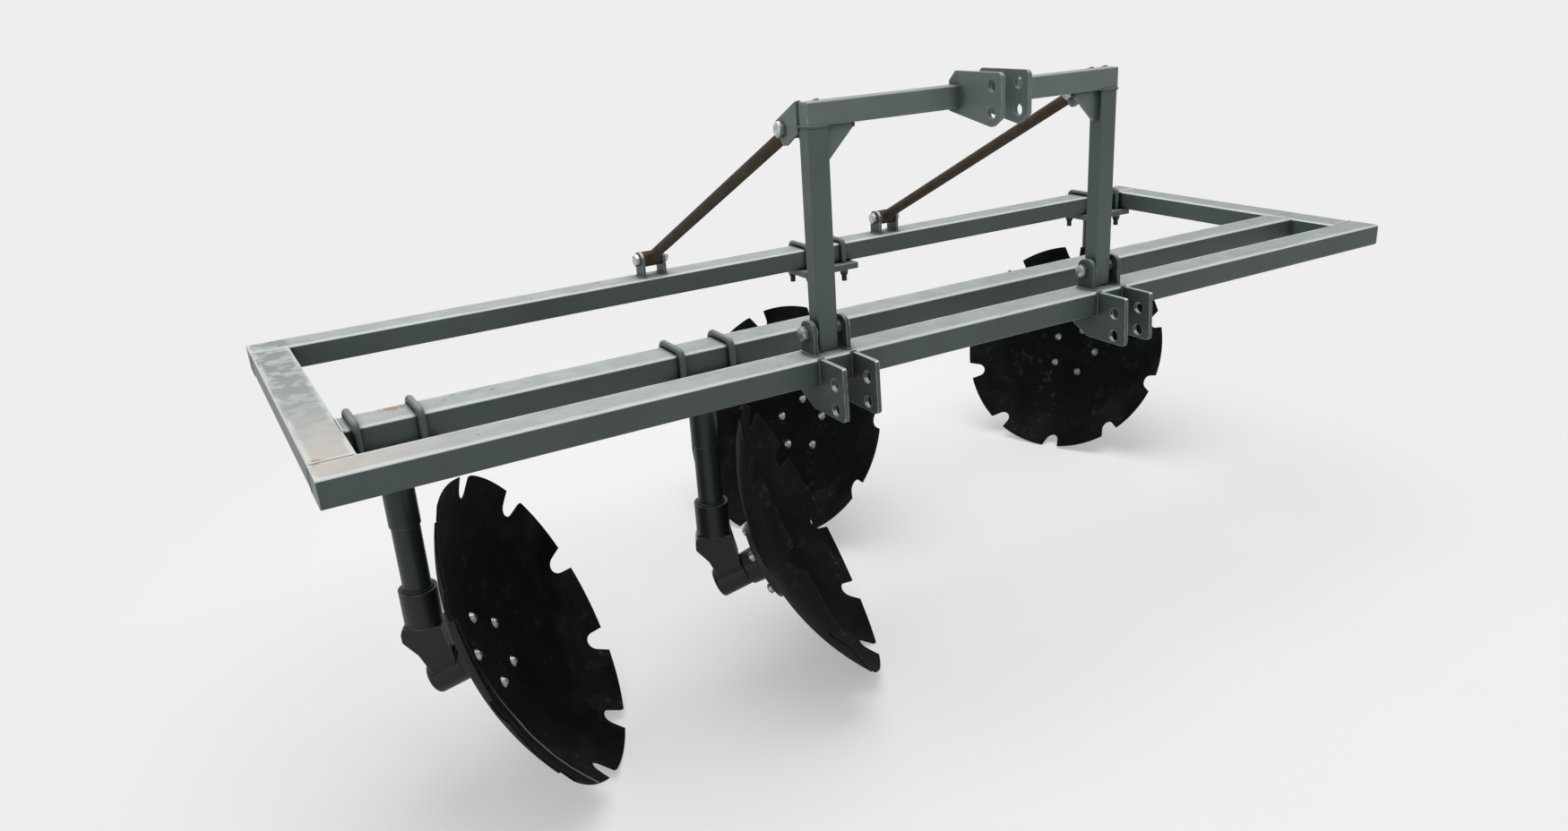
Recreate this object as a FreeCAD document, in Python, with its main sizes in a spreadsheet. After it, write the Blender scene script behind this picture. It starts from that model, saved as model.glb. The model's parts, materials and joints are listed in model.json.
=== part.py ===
import FreeCAD, Part
import math
import os
import Sketcher

# Disc ridger for a three-point linkage: a welded frame of three long beams,
# a mast over the front beam with two stays to the rear beam, and four disc
# gangs clamped under the beams with U-bolts. Millimetres, +Z up, the tractor
# on the -Y side, the floor at Z = 0, the origin under the middle of the part.

doc = FreeCAD.newDocument("ridger")
sizes = doc.addObject("Spreadsheet::Sheet", "sizes")

# Driving dimensions: name, value, what it measures
SIZES = [
    ("frame_length", 3000.0, "outer length of the frame along the beams"),
    ("frame_depth", 1046.0, "front face of the front beam to rear face of the rear beam"),
    ("front_gap", 142.0, "clear gap between the front and the middle beam"),
    ("beam_width", 90.0, "beam tube, across"),
    ("beam_height", 60.0, "beam tube, upright"),
    ("beam_wall", 4.0, "beam tube wall"),
    ("beam_corner", 7.0, "outer corner radius of the beam tube"),
    ("cap_plate", 5.0, "thickness of the welded end caps"),
    ("hitch_spread", 824.0, "between the middles of the two lower hitch clevises"),
    ("hitch_gap", 74.0, "clear width of a hitch clevis"),
    ("hitch_plate", 10.0, "thickness of the hitch plates"),
    ("hitch_reach", 97.0, "how far the lower hitch plates stand out in front"),
    ("hitch_drop", 62.0, "how far they hang below the beam"),
    ("lower_bore", 29.0, "diameter of the lower hitch holes"),
    ("lower_bore_reach", 58.0, "lower hitch holes, in front of the beam"),
    ("lower_bore_depth", 44.0, "upper one of these holes, below the beam's top"),
    ("bore_pitch", 57.0, "between the two holes of a hitch plate"),
    ("upper_bore", 26.0, "diameter of the top link holes"),
    ("upper_bore_reach", 106.0, "top link holes, in front of the crossbar"),
    ("upper_bore_rise", 3.0, "upper one of these holes, above the crossbar's top"),
    ("top_gap", 64.0, "clear width of the top hitch clevis"),
    ("top_plate_nose", 32.0, "top hitch plate in front of these holes"),
    ("top_plate_rise", 30.0, "the same plate above the crossbar"),
    ("top_plate_drop", 34.0, "the same plate below the crossbar"),
    ("top_plate_lip", 7.0, "its foot at the crossbar's rear face"),
    ("top_plate_slope", 22.0, "height and width of its sloping corners"),
    ("hitch_lean", 5.0, "how far the lower hitch plates' front edges lean"),
    ("hitch_heel", 26.0, "rise of these plates' lower edges at the rear"),
    ("plate_round", 12.0, "corner radius of the hitch plates"),
    ("upright_width", 50.0, "mast upright tube, across"),
    ("upright_depth", 40.0, "mast upright tube, front to back"),
    ("mast_back", 8.0, "middle of the uprights behind the middle of the front beam"),
    ("mast_wall", 3.0, "wall of the mast tubes"),
    ("mast_corner", 4.0, "outer corner radius of the mast tubes"),
    ("foot_gap", 8.0, "upright's lower end above the beam"),
    ("mast_height", 537.0, "top of the crossbar above the beams"),
    ("crossbar_height", 50.0, "crossbar tube, upright"),
    ("crossbar_depth", 40.0, "crossbar tube, front to back"),
    ("gusset_leg", 72.0, "legs of the mast's corner gussets"),
    ("gusset_tip", 9.0, "blunt tips of these gussets"),
    ("gusset_plate", 8.0, "thickness of these gussets"),
    ("lug_plate", 10.0, "thickness of the lugs at the mast's feet"),
    ("lug_height", 76.0, "height of these lugs"),
    ("lug_front", 35.0, "these lugs in front of their bolt"),
    ("lug_back", 20.0, "these lugs behind their bolt"),
    ("lug_round", 24.0, "radius of their upper corners"),
    ("bolt_height", 47.0, "mast foot bolt above the beam"),
    ("bush_diameter", 36.0, "spacer bushes on this bolt, either side of the upright"),
    ("seat_gap", 0.3, "gap between pieces that seat on each other"),
    ("bolt_diameter", 20.0, "bolts of the mast's feet and stays"),
    ("stay_diameter", 30.0, "round bar of the stays"),
    ("stay_eye", 44.0, "outer diameter of the stays' eyes"),
    ("stay_top_eye", 36.0, "width of the upper eyes"),
    ("stay_foot_eye", 56.0, "width of the lower eyes"),
    ("stay_bar_set", 4.0, "how far a stay's bar enters its eyes"),
    ("stay_lug", 8.0, "thickness of the stays' lugs"),
    ("stay_lug_rim", 4.0, "these lugs beyond the eyes"),
    ("stay_pin_height", 49.0, "lower stay bolt above the rear beam"),
    ("stay_top_back", 67.0, "upper stay bolt behind the crossbar"),
    ("stay_top_drop", 60.0, "upper stay bolt below the crossbar's top"),
    ("clamp_length", 196.0, "clamp plate, along the beam"),
    ("clamp_width", 165.0, "clamp plate, across the beam"),
    ("clamp_plate", 18.0, "thickness of the clamp plate"),
    ("u_bolt_bar", 16.0, "bar diameter of the U-bolts"),
    ("u_bolt_pitch", 126.0, "between the two U-bolts of a gang"),
    ("u_bolt_tail", 40.0, "threaded end below the clamp plate"),
    ("shank_diameter", 60.0, "round shank of a gang"),
    ("sleeve_diameter", 66.0, "thicker upper part of the shank"),
    ("sleeve_length", 167.0, "this part, below the clamp plate"),
    ("collar_diameter", 82.0, "socket at the shank's lower end"),
    ("collar_length", 84.0, "length of this socket"),
    ("collar_rise", 84.0, "socket's lower end above the middle of the hub's face"),
    ("knee_thickness", 60.0, "knee block, across"),
    ("knee_cheek", 5.0, "knee block behind the socket"),
    ("knee_slope", 14.0, "slope from the socket to the knee's back"),
    ("knee_back", 33.0, "foot of the knee's back below the socket"),
    ("knee_heel", 38.0, "knee's rear corner above the bearing housing"),
    ("knee_shoulder", 8.0, "knee's front corner above the bearing housing"),
    ("knee_inset", 16.0, "knee's foot and heel inside the housing's ends"),
    ("disc_tilt", 24.3, "degrees that the disc axle rises towards the disc"),
    ("hub_offset", 129.4, "middle of the hub's face beside the shank's axis"),
    ("rim_clearance", 120.0, "highest point of the rim below the beams' undersides"),
    ("disc_diameter", 730.0, "over the rim"),
    ("disc_sheet", 6.0, "thickness of the disc"),
    ("dish_radius", 590.0, "inner radius of the dished part"),
    ("disc_flat", 100.0, "radius of the flat middle"),
    ("notch_count", 10.0, "notches round the rim"),
    ("notch_depth", 42.0, "depth of a notch"),
    ("notch_radius", 23.0, "radius of its bottom"),
    ("notch_flare", 18.0, "degrees that each side of a notch opens"),
    ("flange_diameter", 204.0, "hub flange behind the disc"),
    ("flange_plate", 14.0, "thickness of this flange"),
    ("hub_neck", 42.0, "radius of the hub's narrow end"),
    ("hub_flare", 4.0, "how much wider the hub's neck is at the flange"),
    ("hub_blend", 14.0, "hollow radius between neck and flange"),
    ("hub_length", 60.0, "hub, from the disc's back to its narrow end"),
    ("spindle_diameter", 40.0, "shaft that turns in the bearing housing"),
    ("spindle_play", 0.05, "radial play of this shaft"),
    ("spindle_length", 56.0, "length of shaft in the housing"),
    ("housing_diameter", 76.0, "bearing housing"),
    ("housing_length", 82.0, "length of this housing"),
    ("housing_round", 8.0, "rounding of its closed end"),
    ("hub_gap", 0.8, "gap between the hub and the housing"),
    ("disc_bolt", 14.0, "bolts that hold the disc"),
    ("disc_bolt_head", 27.0, "diameter of their heads"),
    ("disc_bolt_nut", 25.0, "diameter of their nuts"),
    ("disc_bolt_circle", 164.0, "their pitch circle"),
    ("disc_bolt_count", 5.0, "their number"),
    ("disc_bolt_turn", 17.0, "degrees from a notch's middle to the first of them"),
    ("edge_round", 3.0, "rounded edges of turned pieces and the knee"),
]
for row, (name, value, meaning) in enumerate(SIZES, start=1):
    sizes.set("A%d" % row, name)
    sizes.set("B%d" % row, repr(value))
    sizes.set("C%d" % row, meaning)
    sizes.setAlias("B%d" % row, name)
doc.recompute()


def size(name):
    return float(sizes.get(name))


# Disc gangs: number, where its place is measured from (the frame's left end,
# middle or right end), this distance, beam, side that the disc faces, degrees
# that the gang is turned towards the tractor, and degrees that the disc is
# turned on its axle
GANGS = [
    (1, "left", 175.0, "middle", "right", 26.0, 13.0),
    (2, "middle", -621.0, "middle", "right", 26.0, -3.0),
    (3, "middle", 153.0, "rear", "left", 22.0, 29.0),
    (4, "right", -167.0, "rear", "left", 22.0, 5.0),
]
FIRST_TOE, LAST_TOE = GANGS[0][5], GANGS[-1][5]

# Places that follow from the sizes
TILT = math.radians(size("disc_tilt"))
RIM = size("disc_diameter") / 2
DISH_CENTRE = math.sqrt(size("dish_radius") ** 2 - RIM ** 2)
DISH_DEPTH = math.sqrt(size("dish_radius") ** 2 - size("disc_flat") ** 2) - DISH_CENTRE
DISC_BACK = -DISH_DEPTH - size("disc_sheet")
RIM_OFFSET = size("hub_offset") - DISC_BACK * math.cos(TILT)
RIM_DROP = size("beam_height") + size("rim_clearance") + RIM * math.cos(TILT)
HUB_DROP = RIM_DROP - DISC_BACK * math.sin(TILT)
COLLAR_FOOT = size("collar_rise") - HUB_DROP
BEAM_TOP = RIM_DROP + RIM * math.cos(TILT)
HALF_LENGTH = size("frame_length") / 2
MIDDLE_BEAM = size("beam_width") + size("front_gap") + size("beam_width") / 2
REAR_BEAM = size("frame_depth") - size("beam_width") / 2
MEASURED_FROM = {"left": -HALF_LENGTH, "middle": 0.0, "right": HALF_LENGTH}


def disc_reach(turn):
    """How far the rim reaches to either side of its middle, front to back."""
    sideways = math.cos(TILT) * math.sin(math.radians(turn))
    return RIM * math.sqrt(1 - sideways ** 2)


def rim_shift(turn):
    """How far the rim's middle lies in front of its shank."""
    return RIM_OFFSET * math.sin(math.radians(turn))


FOREMOST = MIDDLE_BEAM - rim_shift(FIRST_TOE) - disc_reach(FIRST_TOE)
REARMOST = REAR_BEAM - rim_shift(LAST_TOE) + disc_reach(LAST_TOE)
FRONT = -(FOREMOST + REARMOST) / 2
BEAM_Y = {
    "front": FRONT + size("beam_width") / 2,
    "middle": FRONT + MIDDLE_BEAM,
    "rear": FRONT + REAR_BEAM,
}
UPRIGHT_X = size("hitch_spread") / 2
MAST_Y = BEAM_Y["front"] + size("mast_back")
MAST_FACE = MAST_Y - size("upright_depth") / 2
CROSSBAR_TOP = BEAM_TOP + size("mast_height")
CROSSBAR_BOTTOM = CROSSBAR_TOP - size("crossbar_height")
SEAT = size("seat_gap")
EPS = 1.0e-6

# Hexagon bolts and nuts, as shares of the bolt's diameter
HEX_CORNER = 0.87
HEAD_HEIGHT = 0.62
NUT_HEIGHT = 0.8
BOLT_END = 0.2

pieces = []


# Small tools for bodies, sketches and outlines

def vec(x, y, z=0.0):
    return FreeCAD.Vector(x, y, z)


def new_body(label):
    body = doc.addObject("PartDesign::Body", label)
    body.Label = label
    body.AllowCompound = True
    pieces.append(body)
    return body


def plane(body, role):
    for feature in body.Origin.OriginFeatures:
        if feature.Role == role:
            return feature
    raise ValueError("no plane " + role)


def new_sketch(body, role, name):
    sketch = body.newObject("Sketcher::SketchObject", body.Name + "_" + name)
    sketch.AttachmentSupport = [(plane(body, role), "")]
    sketch.MapMode = "FlatFace"
    return sketch


def bind(item, **links):
    """Ties properties to cells of the sheet, by expressions."""
    for prop, expression in links.items():
        item.setExpression(prop, expression)


def rectangle(sketch, across, up):
    """A rectangle about the sketch's origin, its sides tied to expressions."""
    corners = [(-1, -1), (1, -1), (1, 1), (-1, 1)]
    points = [vec(10.0 * x, 10.0 * y) for x, y in corners]
    for index in range(4):
        sketch.addGeometry(Part.LineSegment(points[index], points[(index + 1) % 4]))
    for index in range(4):
        sketch.addConstraint(Sketcher.Constraint("Coincident", index, 2, (index + 1) % 4, 1))
    for index, kind in enumerate(["Horizontal", "Vertical"] * 2):
        sketch.addConstraint(Sketcher.Constraint(kind, index))
    sketch.addConstraint(Sketcher.Constraint("Symmetric", 0, 1, 1, 2, -1, 1))
    for kind, line, expression in (("DistanceX", 0, across), ("DistanceY", 1, up)):
        number = sketch.addConstraint(Sketcher.Constraint(kind, line, 1, line, 2, 20.0))
        sketch.setExpression("Constraints[%d]" % number, expression)


def hole(sketch, x, y, diameter):
    """A circle whose diameter is tied to an expression."""
    number = sketch.addGeometry(Part.Circle(vec(x, y), vec(0, 0, 1), 5.0))
    link = sketch.addConstraint(Sketcher.Constraint("Diameter", number, 10.0))
    sketch.setExpression("Constraints[%d]" % link, diameter)


def outline(sketch, corners):
    """A closed outline through corners (x, y, corner radius)."""
    count = len(corners)
    starts, ends = [], []
    for index, (x, y, radius) in enumerate(corners):
        here = vec(x, y)
        before = vec(*corners[index - 1][:2]) - here
        after = vec(*corners[(index + 1) % count][:2]) - here
        half = before.getAngle(after) / 2
        back = radius / math.tan(half)
        start = here + before.normalize() * back
        end = here + after.normalize() * back
        if radius > 0:
            inward = (before + after).normalize()
            middle = here + inward * (radius / math.sin(half) - radius)
            sketch.addGeometry(Part.Arc(start, middle, end))
        starts.append(start)
        ends.append(end)
    for index in range(count):
        start, end = ends[index], starts[(index + 1) % count]
        if (end - start).Length > EPS:
            sketch.addGeometry(Part.LineSegment(start, end))


def pad(body, sketch, length, name="pad"):
    feature = body.newObject("PartDesign::Pad", body.Name + "_" + name)
    feature.Profile = sketch
    bind(feature, Length=length)
    return feature


def cut_through(body, sketch, name, reverse=False):
    """A pocket right through, which has to take material away."""
    doc.recompute()
    before = body.Tip.Shape.Volume
    feature = body.newObject("PartDesign::Pocket", body.Name + "_" + name)
    feature.Profile = sketch
    feature.Type = "ThroughAll"
    feature.Reversed = reverse
    doc.recompute()
    if not feature.Shape.Volume < before - EPS:
        raise ValueError(feature.Name + " cuts nothing")
    return feature


def turn(body, sketch, name="turning"):
    feature = body.newObject("PartDesign::Revolution", body.Name + "_" + name)
    feature.Profile = sketch
    feature.ReferenceAxis = (sketch, ["V_Axis"])
    feature.Angle = 360.0
    return feature


def pattern_along(body, sketch, axis, spacing, originals):
    """Two of the named features, a spacing apart."""
    feature = body.newObject("PartDesign::LinearPattern", body.Name + "_pair")
    feature.Originals = originals
    feature.Direction = (sketch, [axis])
    bind(feature, Length=spacing)
    feature.Occurrences = 2
    body.Tip = feature
    return feature


def pattern_round(body, sketch, count, originals):
    """A full circle of the named features."""
    feature = body.newObject("PartDesign::PolarPattern", body.Name + "_circle")
    feature.Originals = originals
    feature.Axis = (sketch, ["N_Axis"])
    feature.Angle = 360.0
    bind(feature, Occurrences=count)
    body.Tip = feature
    return feature


def primitive(body, kind, name, place, **links):
    feature = body.newObject("PartDesign::" + kind, body.Name + "_" + name)
    feature.Placement = place
    bind(feature, **links)
    return feature


def at(x, y, z, axis=(0, 0, 1), degrees=0.0):
    return FreeCAD.Placement(vec(x, y, z), FreeCAD.Rotation(vec(*axis), degrees))


# Turns a primitive's own axis to lie along X
ACROSS = FreeCAD.Rotation(vec(0, 1, 0), 90)


def tube(label, role, across, up, wall, corner, run):
    """A rectangular tube: a pad with rounded edges and a pocket right through."""
    body = new_body(label)
    outer = new_sketch(body, role, "outer")
    rectangle(outer, across, up)
    blank = pad(body, outer, run)
    doc.recompute()
    normal = outer.Placement.Rotation.multVec(vec(0, 0, 1))
    edges = []
    for number, edge in enumerate(blank.Shape.Edges, start=1):
        if abs(edge.tangentAt(edge.FirstParameter).dot(normal)) > 1 - EPS:
            edges.append("Edge%d" % number)
    fillet = body.newObject("PartDesign::Fillet", body.Name + "_corners")
    fillet.Base = (blank, edges)
    bind(fillet, Radius=corner)
    inner = new_sketch(body, role, "inner")
    rectangle(inner, "%s - 2 * %s" % (across, wall), "%s - 2 * %s" % (up, wall))
    cut_through(body, inner, "hollow", reverse=True)
    return body


# The frame

def long_beam(label, y, run, start):
    body = tube(label, "YZ_Plane", "sizes.beam_width", "sizes.beam_height",
                "sizes.beam_wall", "sizes.beam_corner", run)
    body.Placement = at(start, y, BEAM_TOP - size("beam_height") / 2)


def end_tube(label, start):
    """Butts between the front and the rear beam."""
    run = "sizes.frame_depth - 2 * sizes.beam_width"
    body = tube(label, "XZ_Plane", "sizes.beam_width", "sizes.beam_height",
                "sizes.beam_wall", "sizes.beam_corner", run)
    rear_face = FRONT + size("frame_depth") - size("beam_width")
    body.Placement = at(start, rear_face, BEAM_TOP - size("beam_height") / 2)


def end_caps(label, middles, width, height, wall, run, place):
    """Flat caps just inside both open ends of tubes that lie side by side."""
    body = new_body(label)
    sketch = new_sketch(body, "YZ_Plane", "cap")
    half = [length / 2 - wall - SEAT for length in (width, height)]
    for middle in middles:
        outline(sketch, [(middle + x * half[0], y * half[1], 0.0)
                         for x, y in ((-1, -1), (1, -1), (1, 1), (-1, 1))])
    cap = pad(body, sketch, "sizes.cap_plate")
    pattern_along(body, sketch, "N_Axis", run + " - sizes.cap_plate", [cap])
    body.Placement = place


long_beam("front_beam", BEAM_Y["front"], "sizes.frame_length", -HALF_LENGTH)
long_beam("rear_beam", BEAM_Y["rear"], "sizes.frame_length", -HALF_LENGTH)
long_beam("middle_beam", BEAM_Y["middle"], "sizes.frame_length - 2 * sizes.beam_width",
          -HALF_LENGTH + size("beam_width"))
end_tube("end_tube_left", -HALF_LENGTH + size("beam_width") / 2)
end_tube("end_tube_right", HALF_LENGTH - size("beam_width") / 2)
end_caps("beam_end_caps", (0.0, REAR_BEAM - size("beam_width") / 2), size("beam_width"),
         size("beam_height"), size("beam_wall"), "sizes.frame_length",
         at(-HALF_LENGTH, BEAM_Y["front"], BEAM_TOP - size("beam_height") / 2))


# The lower hitch and the mast's feet

def lower_hitch_plate(label, x):
    """C-shaped plate that holds the front beam from the front and below."""
    body = new_body(label)
    face, bottom = -size("beam_width") / 2, -size("beam_height") / 2
    nose = face - size("hitch_reach")
    low = bottom - size("hitch_drop")
    lean, soft = size("hitch_lean"), size("plate_round")
    sketch = new_sketch(body, "YZ_Plane", "outline")
    outline(sketch, [
        (face, -bottom, 0.0), (nose + lean, -bottom, lean), (nose, low, soft),
        (face / 3, low, soft), (-face - lean, low + size("hitch_heel"), soft),
        (-face, bottom, 0.0), (face, bottom, 0.0)])
    for step in (0, 1):
        hole(sketch, face - size("lower_bore_reach"),
             -bottom - size("lower_bore_depth") - step * size("bore_pitch"), "sizes.lower_bore")
    pad(body, sketch, "sizes.hitch_plate")
    body.Placement = at(x, BEAM_Y["front"], BEAM_TOP - size("beam_height") / 2)


def foot_lugs(label, x):
    """Two round-topped lugs on the front beam, in the planes of the hitch plates."""
    body = new_body(label)
    front, back = -size("lug_front"), size("lug_back")
    top, soft = size("lug_height"), size("lug_round")
    sketch = new_sketch(body, "YZ_Plane", "outline")
    outline(sketch, [(front, 0.0, 0.0), (back, 0.0, 0.0), (back, top, soft), (front, top, soft)])
    hole(sketch, 0.0, size("bolt_height"), "sizes.bolt_diameter + 2 * sizes.seat_gap")
    lug = pad(body, sketch, "sizes.lug_plate")
    pattern_along(body, sketch, "N_Axis", "sizes.hitch_gap + sizes.lug_plate", [lug])
    body.Placement = at(x - size("hitch_gap") / 2 - size("lug_plate"), MAST_Y, BEAM_TOP)


for side, sign in (("left", -1), ("right", 1)):
    middle = sign * UPRIGHT_X
    inner = middle - size("hitch_gap") / 2 - size("hitch_plate")
    lower_hitch_plate("lower_hitch_plate_%s_outer" % side if sign < 0
                      else "lower_hitch_plate_%s_inner" % side, inner)
    lower_hitch_plate("lower_hitch_plate_%s_inner" % side if sign < 0
                      else "lower_hitch_plate_%s_outer" % side, middle + size("hitch_gap") / 2)
    foot_lugs("mast_foot_lugs_" + side, middle)


# Bolts

def cross_bolt(body, x, y, z, grip, name):
    """Hexagon bolt and nut along X through a joint of a given grip, about a point."""
    half = grip / 2
    head = size("bolt_diameter") * HEAD_HEIGHT
    end = size("bolt_diameter") * BOLT_END
    corner = "sizes.bolt_diameter * %g" % HEX_CORNER
    parts = [
        ("AdditiveCylinder", "shaft", -half, grip, "Radius", "sizes.bolt_diameter / 2"),
        ("AdditivePrism", "head", -half - head, head, "Circumradius", corner),
        ("AdditivePrism", "nut", half, head, "Circumradius", corner),
        ("AdditiveCylinder", "end", half + head, end, "Radius", "sizes.bolt_diameter / 2"),
    ]
    for kind, part, start, length, prop, expression in parts:
        feature = primitive(body, kind, name + "_" + part,
                            FreeCAD.Placement(vec(x + start, y, z), ACROSS), **{prop: expression})
        feature.Height = length


def foot_bolts(label):
    body = new_body(label)
    grip = size("hitch_gap") + 2 * size("lug_plate")
    for name, x in (("left", -UPRIGHT_X), ("right", UPRIGHT_X)):
        cross_bolt(body, x, MAST_Y, BEAM_TOP + size("bolt_height"), grip, name)


def foot_bushes(label):
    """Spacers on the foot bolts between the lugs and the uprights."""
    body = new_body(label)
    length = (size("hitch_gap") - size("upright_width")) / 2 - 2 * SEAT
    starts = [sign * UPRIGHT_X + offset for sign in (-1, 1)
              for offset in (SEAT - size("hitch_gap") / 2, size("upright_width") / 2 + SEAT)]
    for number, start in enumerate(starts, start=1):
        place = FreeCAD.Placement(vec(start, MAST_Y, BEAM_TOP + size("bolt_height")), ACROSS)
        bush = primitive(body, "AdditiveCylinder", "bush_%d" % number, place,
                         Radius="sizes.bush_diameter / 2")
        bush.Height = length
    for number, start in enumerate(starts, start=1):
        place = FreeCAD.Placement(vec(start, MAST_Y, BEAM_TOP + size("bolt_height")), ACROSS)
        bore = primitive(body, "SubtractiveCylinder", "bore_%d" % number, place,
                         Radius="sizes.bolt_diameter / 2 + sizes.seat_gap")
        bore.Height = length


foot_bolts("mast_foot_bolts")
foot_bushes("mast_foot_bushes")


# The mast

def mast_upright(label, x):
    run = "sizes.mast_height - sizes.crossbar_height - sizes.foot_gap"
    body = tube(label, "XY_Plane", "sizes.upright_width", "sizes.upright_depth",
                "sizes.mast_wall", "sizes.mast_corner", run)
    start = vec(-size("upright_width"), 0, size("bolt_height") - size("foot_gap"))
    primitive(body, "SubtractiveCylinder", "bolt_hole", FreeCAD.Placement(start, ACROSS),
              Radius="sizes.bolt_diameter / 2 + sizes.seat_gap",
              Height="2 * sizes.upright_width")
    body.Placement = at(x, MAST_Y, BEAM_TOP + size("foot_gap"))


def crossbar(label, caps):
    run = "sizes.hitch_spread + sizes.upright_width"
    body = tube(label, "YZ_Plane", "sizes.crossbar_depth", "sizes.crossbar_height",
                "sizes.mast_wall", "sizes.mast_corner", run)
    body.Placement = at(-UPRIGHT_X - size("upright_width") / 2,
                        MAST_FACE + size("crossbar_depth") / 2,
                        CROSSBAR_TOP - size("crossbar_height") / 2)
    end_caps(caps, (0.0,), size("crossbar_depth"), size("crossbar_height"), size("mast_wall"),
             run, body.Placement)


def gussets(label):
    """Triangular plates in the mast's two inner corners."""
    body = new_body(label)
    sketch = new_sketch(body, "XZ_Plane", "outline")
    leg, tip = size("gusset_leg"), size("gusset_tip")
    corner = UPRIGHT_X - size("upright_width") / 2
    for sign in (-1, 1):
        outline(sketch, [(sign * (corner - x), -z, 0.0) for x, z in (
            (0.0, 0.0), (leg, 0.0), (leg, tip), (tip, leg), (0.0, leg))])
    pad(body, sketch, "sizes.gusset_plate")
    body.Placement = at(0, MAST_Y + size("gusset_plate") / 2, CROSSBAR_BOTTOM)


def top_hitch_plate(label, x):
    """Plate that hooks over the crossbar from the front, with two top link holes."""
    body = new_body(label)
    back, top = size("crossbar_depth"), size("crossbar_height")
    reach = size("upper_bore_reach")
    nose, crest = -reach - size("top_plate_nose"), top + size("top_plate_rise")
    low, slope, soft = -size("top_plate_drop"), size("top_plate_slope"), size("plate_round")
    sketch = new_sketch(body, "YZ_Plane", "outline")
    outline(sketch, [
        (back, top, 0.0), (back, crest - slope, 0.0), (back - slope, crest, 0.0),
        (nose, crest, soft), (nose, low + slope, soft / 2), (-reach, low, soft),
        (back, -size("top_plate_lip"), 0.0), (back, 0.0, 0.0), (0.0, 0.0, 0.0), (0.0, top, 0.0)])
    for step in (0, 1):
        hole(sketch, -reach, top + size("upper_bore_rise") - step * size("bore_pitch"),
             "sizes.upper_bore")
    pad(body, sketch, "sizes.hitch_plate")
    body.Placement = at(x, MAST_FACE, CROSSBAR_BOTTOM)


mast_upright("mast_upright_left", -UPRIGHT_X)
mast_upright("mast_upright_right", UPRIGHT_X)
crossbar("mast_crossbar", "mast_end_caps")
gussets("mast_gussets")
top_hitch_plate("top_hitch_plate_left", -size("top_gap") / 2 - size("hitch_plate"))
top_hitch_plate("top_hitch_plate_right", size("top_gap") / 2)


# The stays between the mast's head and the rear beam

STAY_TOP = vec(0, MAST_FACE + size("crossbar_depth") + size("stay_top_back"),
               CROSSBAR_TOP - size("stay_top_drop"))
STAY_FOOT = vec(0, BEAM_Y["rear"], BEAM_TOP + size("stay_pin_height"))
STAY_RUN = STAY_FOOT - STAY_TOP
STAY_SLOPE = math.degrees(math.atan2(-STAY_RUN.z, STAY_RUN.y))
LUG_RIM = size("stay_eye") / 2 + size("stay_lug_rim")


def stay(label, x):
    """Round bar with an eye across each end."""
    body = new_body(label)
    along = FreeCAD.Rotation(vec(1, 0, 0), -90)
    inset = size("stay_eye") / 2 - size("stay_bar_set")
    bar = primitive(body, "AdditiveCylinder", "bar", FreeCAD.Placement(vec(0, inset, 0), along),
                    Radius="sizes.stay_diameter / 2")
    bar.Height = STAY_RUN.Length - 2 * inset
    ends = (("top", 0.0), ("foot", STAY_RUN.Length))
    for name, y in ends:
        width = "stay_%s_eye" % name
        primitive(body, "AdditiveCylinder", name + "_eye",
                  FreeCAD.Placement(vec(-size(width) / 2, y, 0), ACROSS),
                  Radius="sizes.stay_eye / 2", Height="sizes." + width)
    for name, y in ends:
        width = "stay_%s_eye" % name
        primitive(body, "SubtractiveCylinder", name + "_bore",
                  FreeCAD.Placement(vec(-size(width), y, 0), ACROSS),
                  Radius="sizes.bolt_diameter / 2 + sizes.seat_gap", Height="2 * sizes." + width)
    body.Placement = at(x, STAY_TOP.y, STAY_TOP.z, (1, 0, 0), -STAY_SLOPE)


def stay_lugs(label, x, width, corners, hole_y, hole_z, y, z):
    """A pair of lugs either side of a stay's eye of a named width."""
    body = new_body(label)
    sketch = new_sketch(body, "YZ_Plane", "outline")
    outline(sketch, corners)
    hole(sketch, hole_y, hole_z, "sizes.bolt_diameter + 2 * sizes.seat_gap")
    lug = pad(body, sketch, "sizes.stay_lug")
    pattern_along(body, sketch, "N_Axis",
                  "sizes.%s + 2 * sizes.seat_gap + sizes.stay_lug" % width, [lug])
    body.Placement = at(x - size(width) / 2 - SEAT - size("stay_lug"), y, z)


def top_lugs(label, x):
    back, drop = size("stay_top_back"), size("stay_top_drop")
    corners = [(0.0, 0.0, 0.0), (0.0, -drop, 0.0),
               (back - LUG_RIM / 8, -drop - LUG_RIM * 3 / 2, LUG_RIM / 2),
               (back + LUG_RIM * 6 / 5, -drop + LUG_RIM / 2, LUG_RIM / 3), (LUG_RIM / 3, 0.0, 0.0)]
    stay_lugs(label, x, "stay_top_eye", corners, back, -drop,
              MAST_FACE + size("crossbar_depth"), CROSSBAR_TOP)


def rear_lugs(label, x):
    top, soft = size("stay_pin_height") + size("stay_eye") / 2, size("stay_eye") / 2
    corners = [(-LUG_RIM, 0.0, 0.0), (LUG_RIM, 0.0, 0.0), (LUG_RIM, top, soft), (-LUG_RIM, top, soft)]
    stay_lugs(label, x, "stay_foot_eye", corners, 0.0, size("stay_pin_height"),
              BEAM_Y["rear"], BEAM_TOP)


def stay_bolts(label):
    body = new_body(label)
    for side, x in (("left", -UPRIGHT_X), ("right", UPRIGHT_X)):
        for end, place in (("top", STAY_TOP), ("foot", STAY_FOOT)):
            grip = size("stay_%s_eye" % end) + 2 * (SEAT + size("stay_lug"))
            cross_bolt(body, x, place.y, place.z, grip, side + "_" + end)


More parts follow.
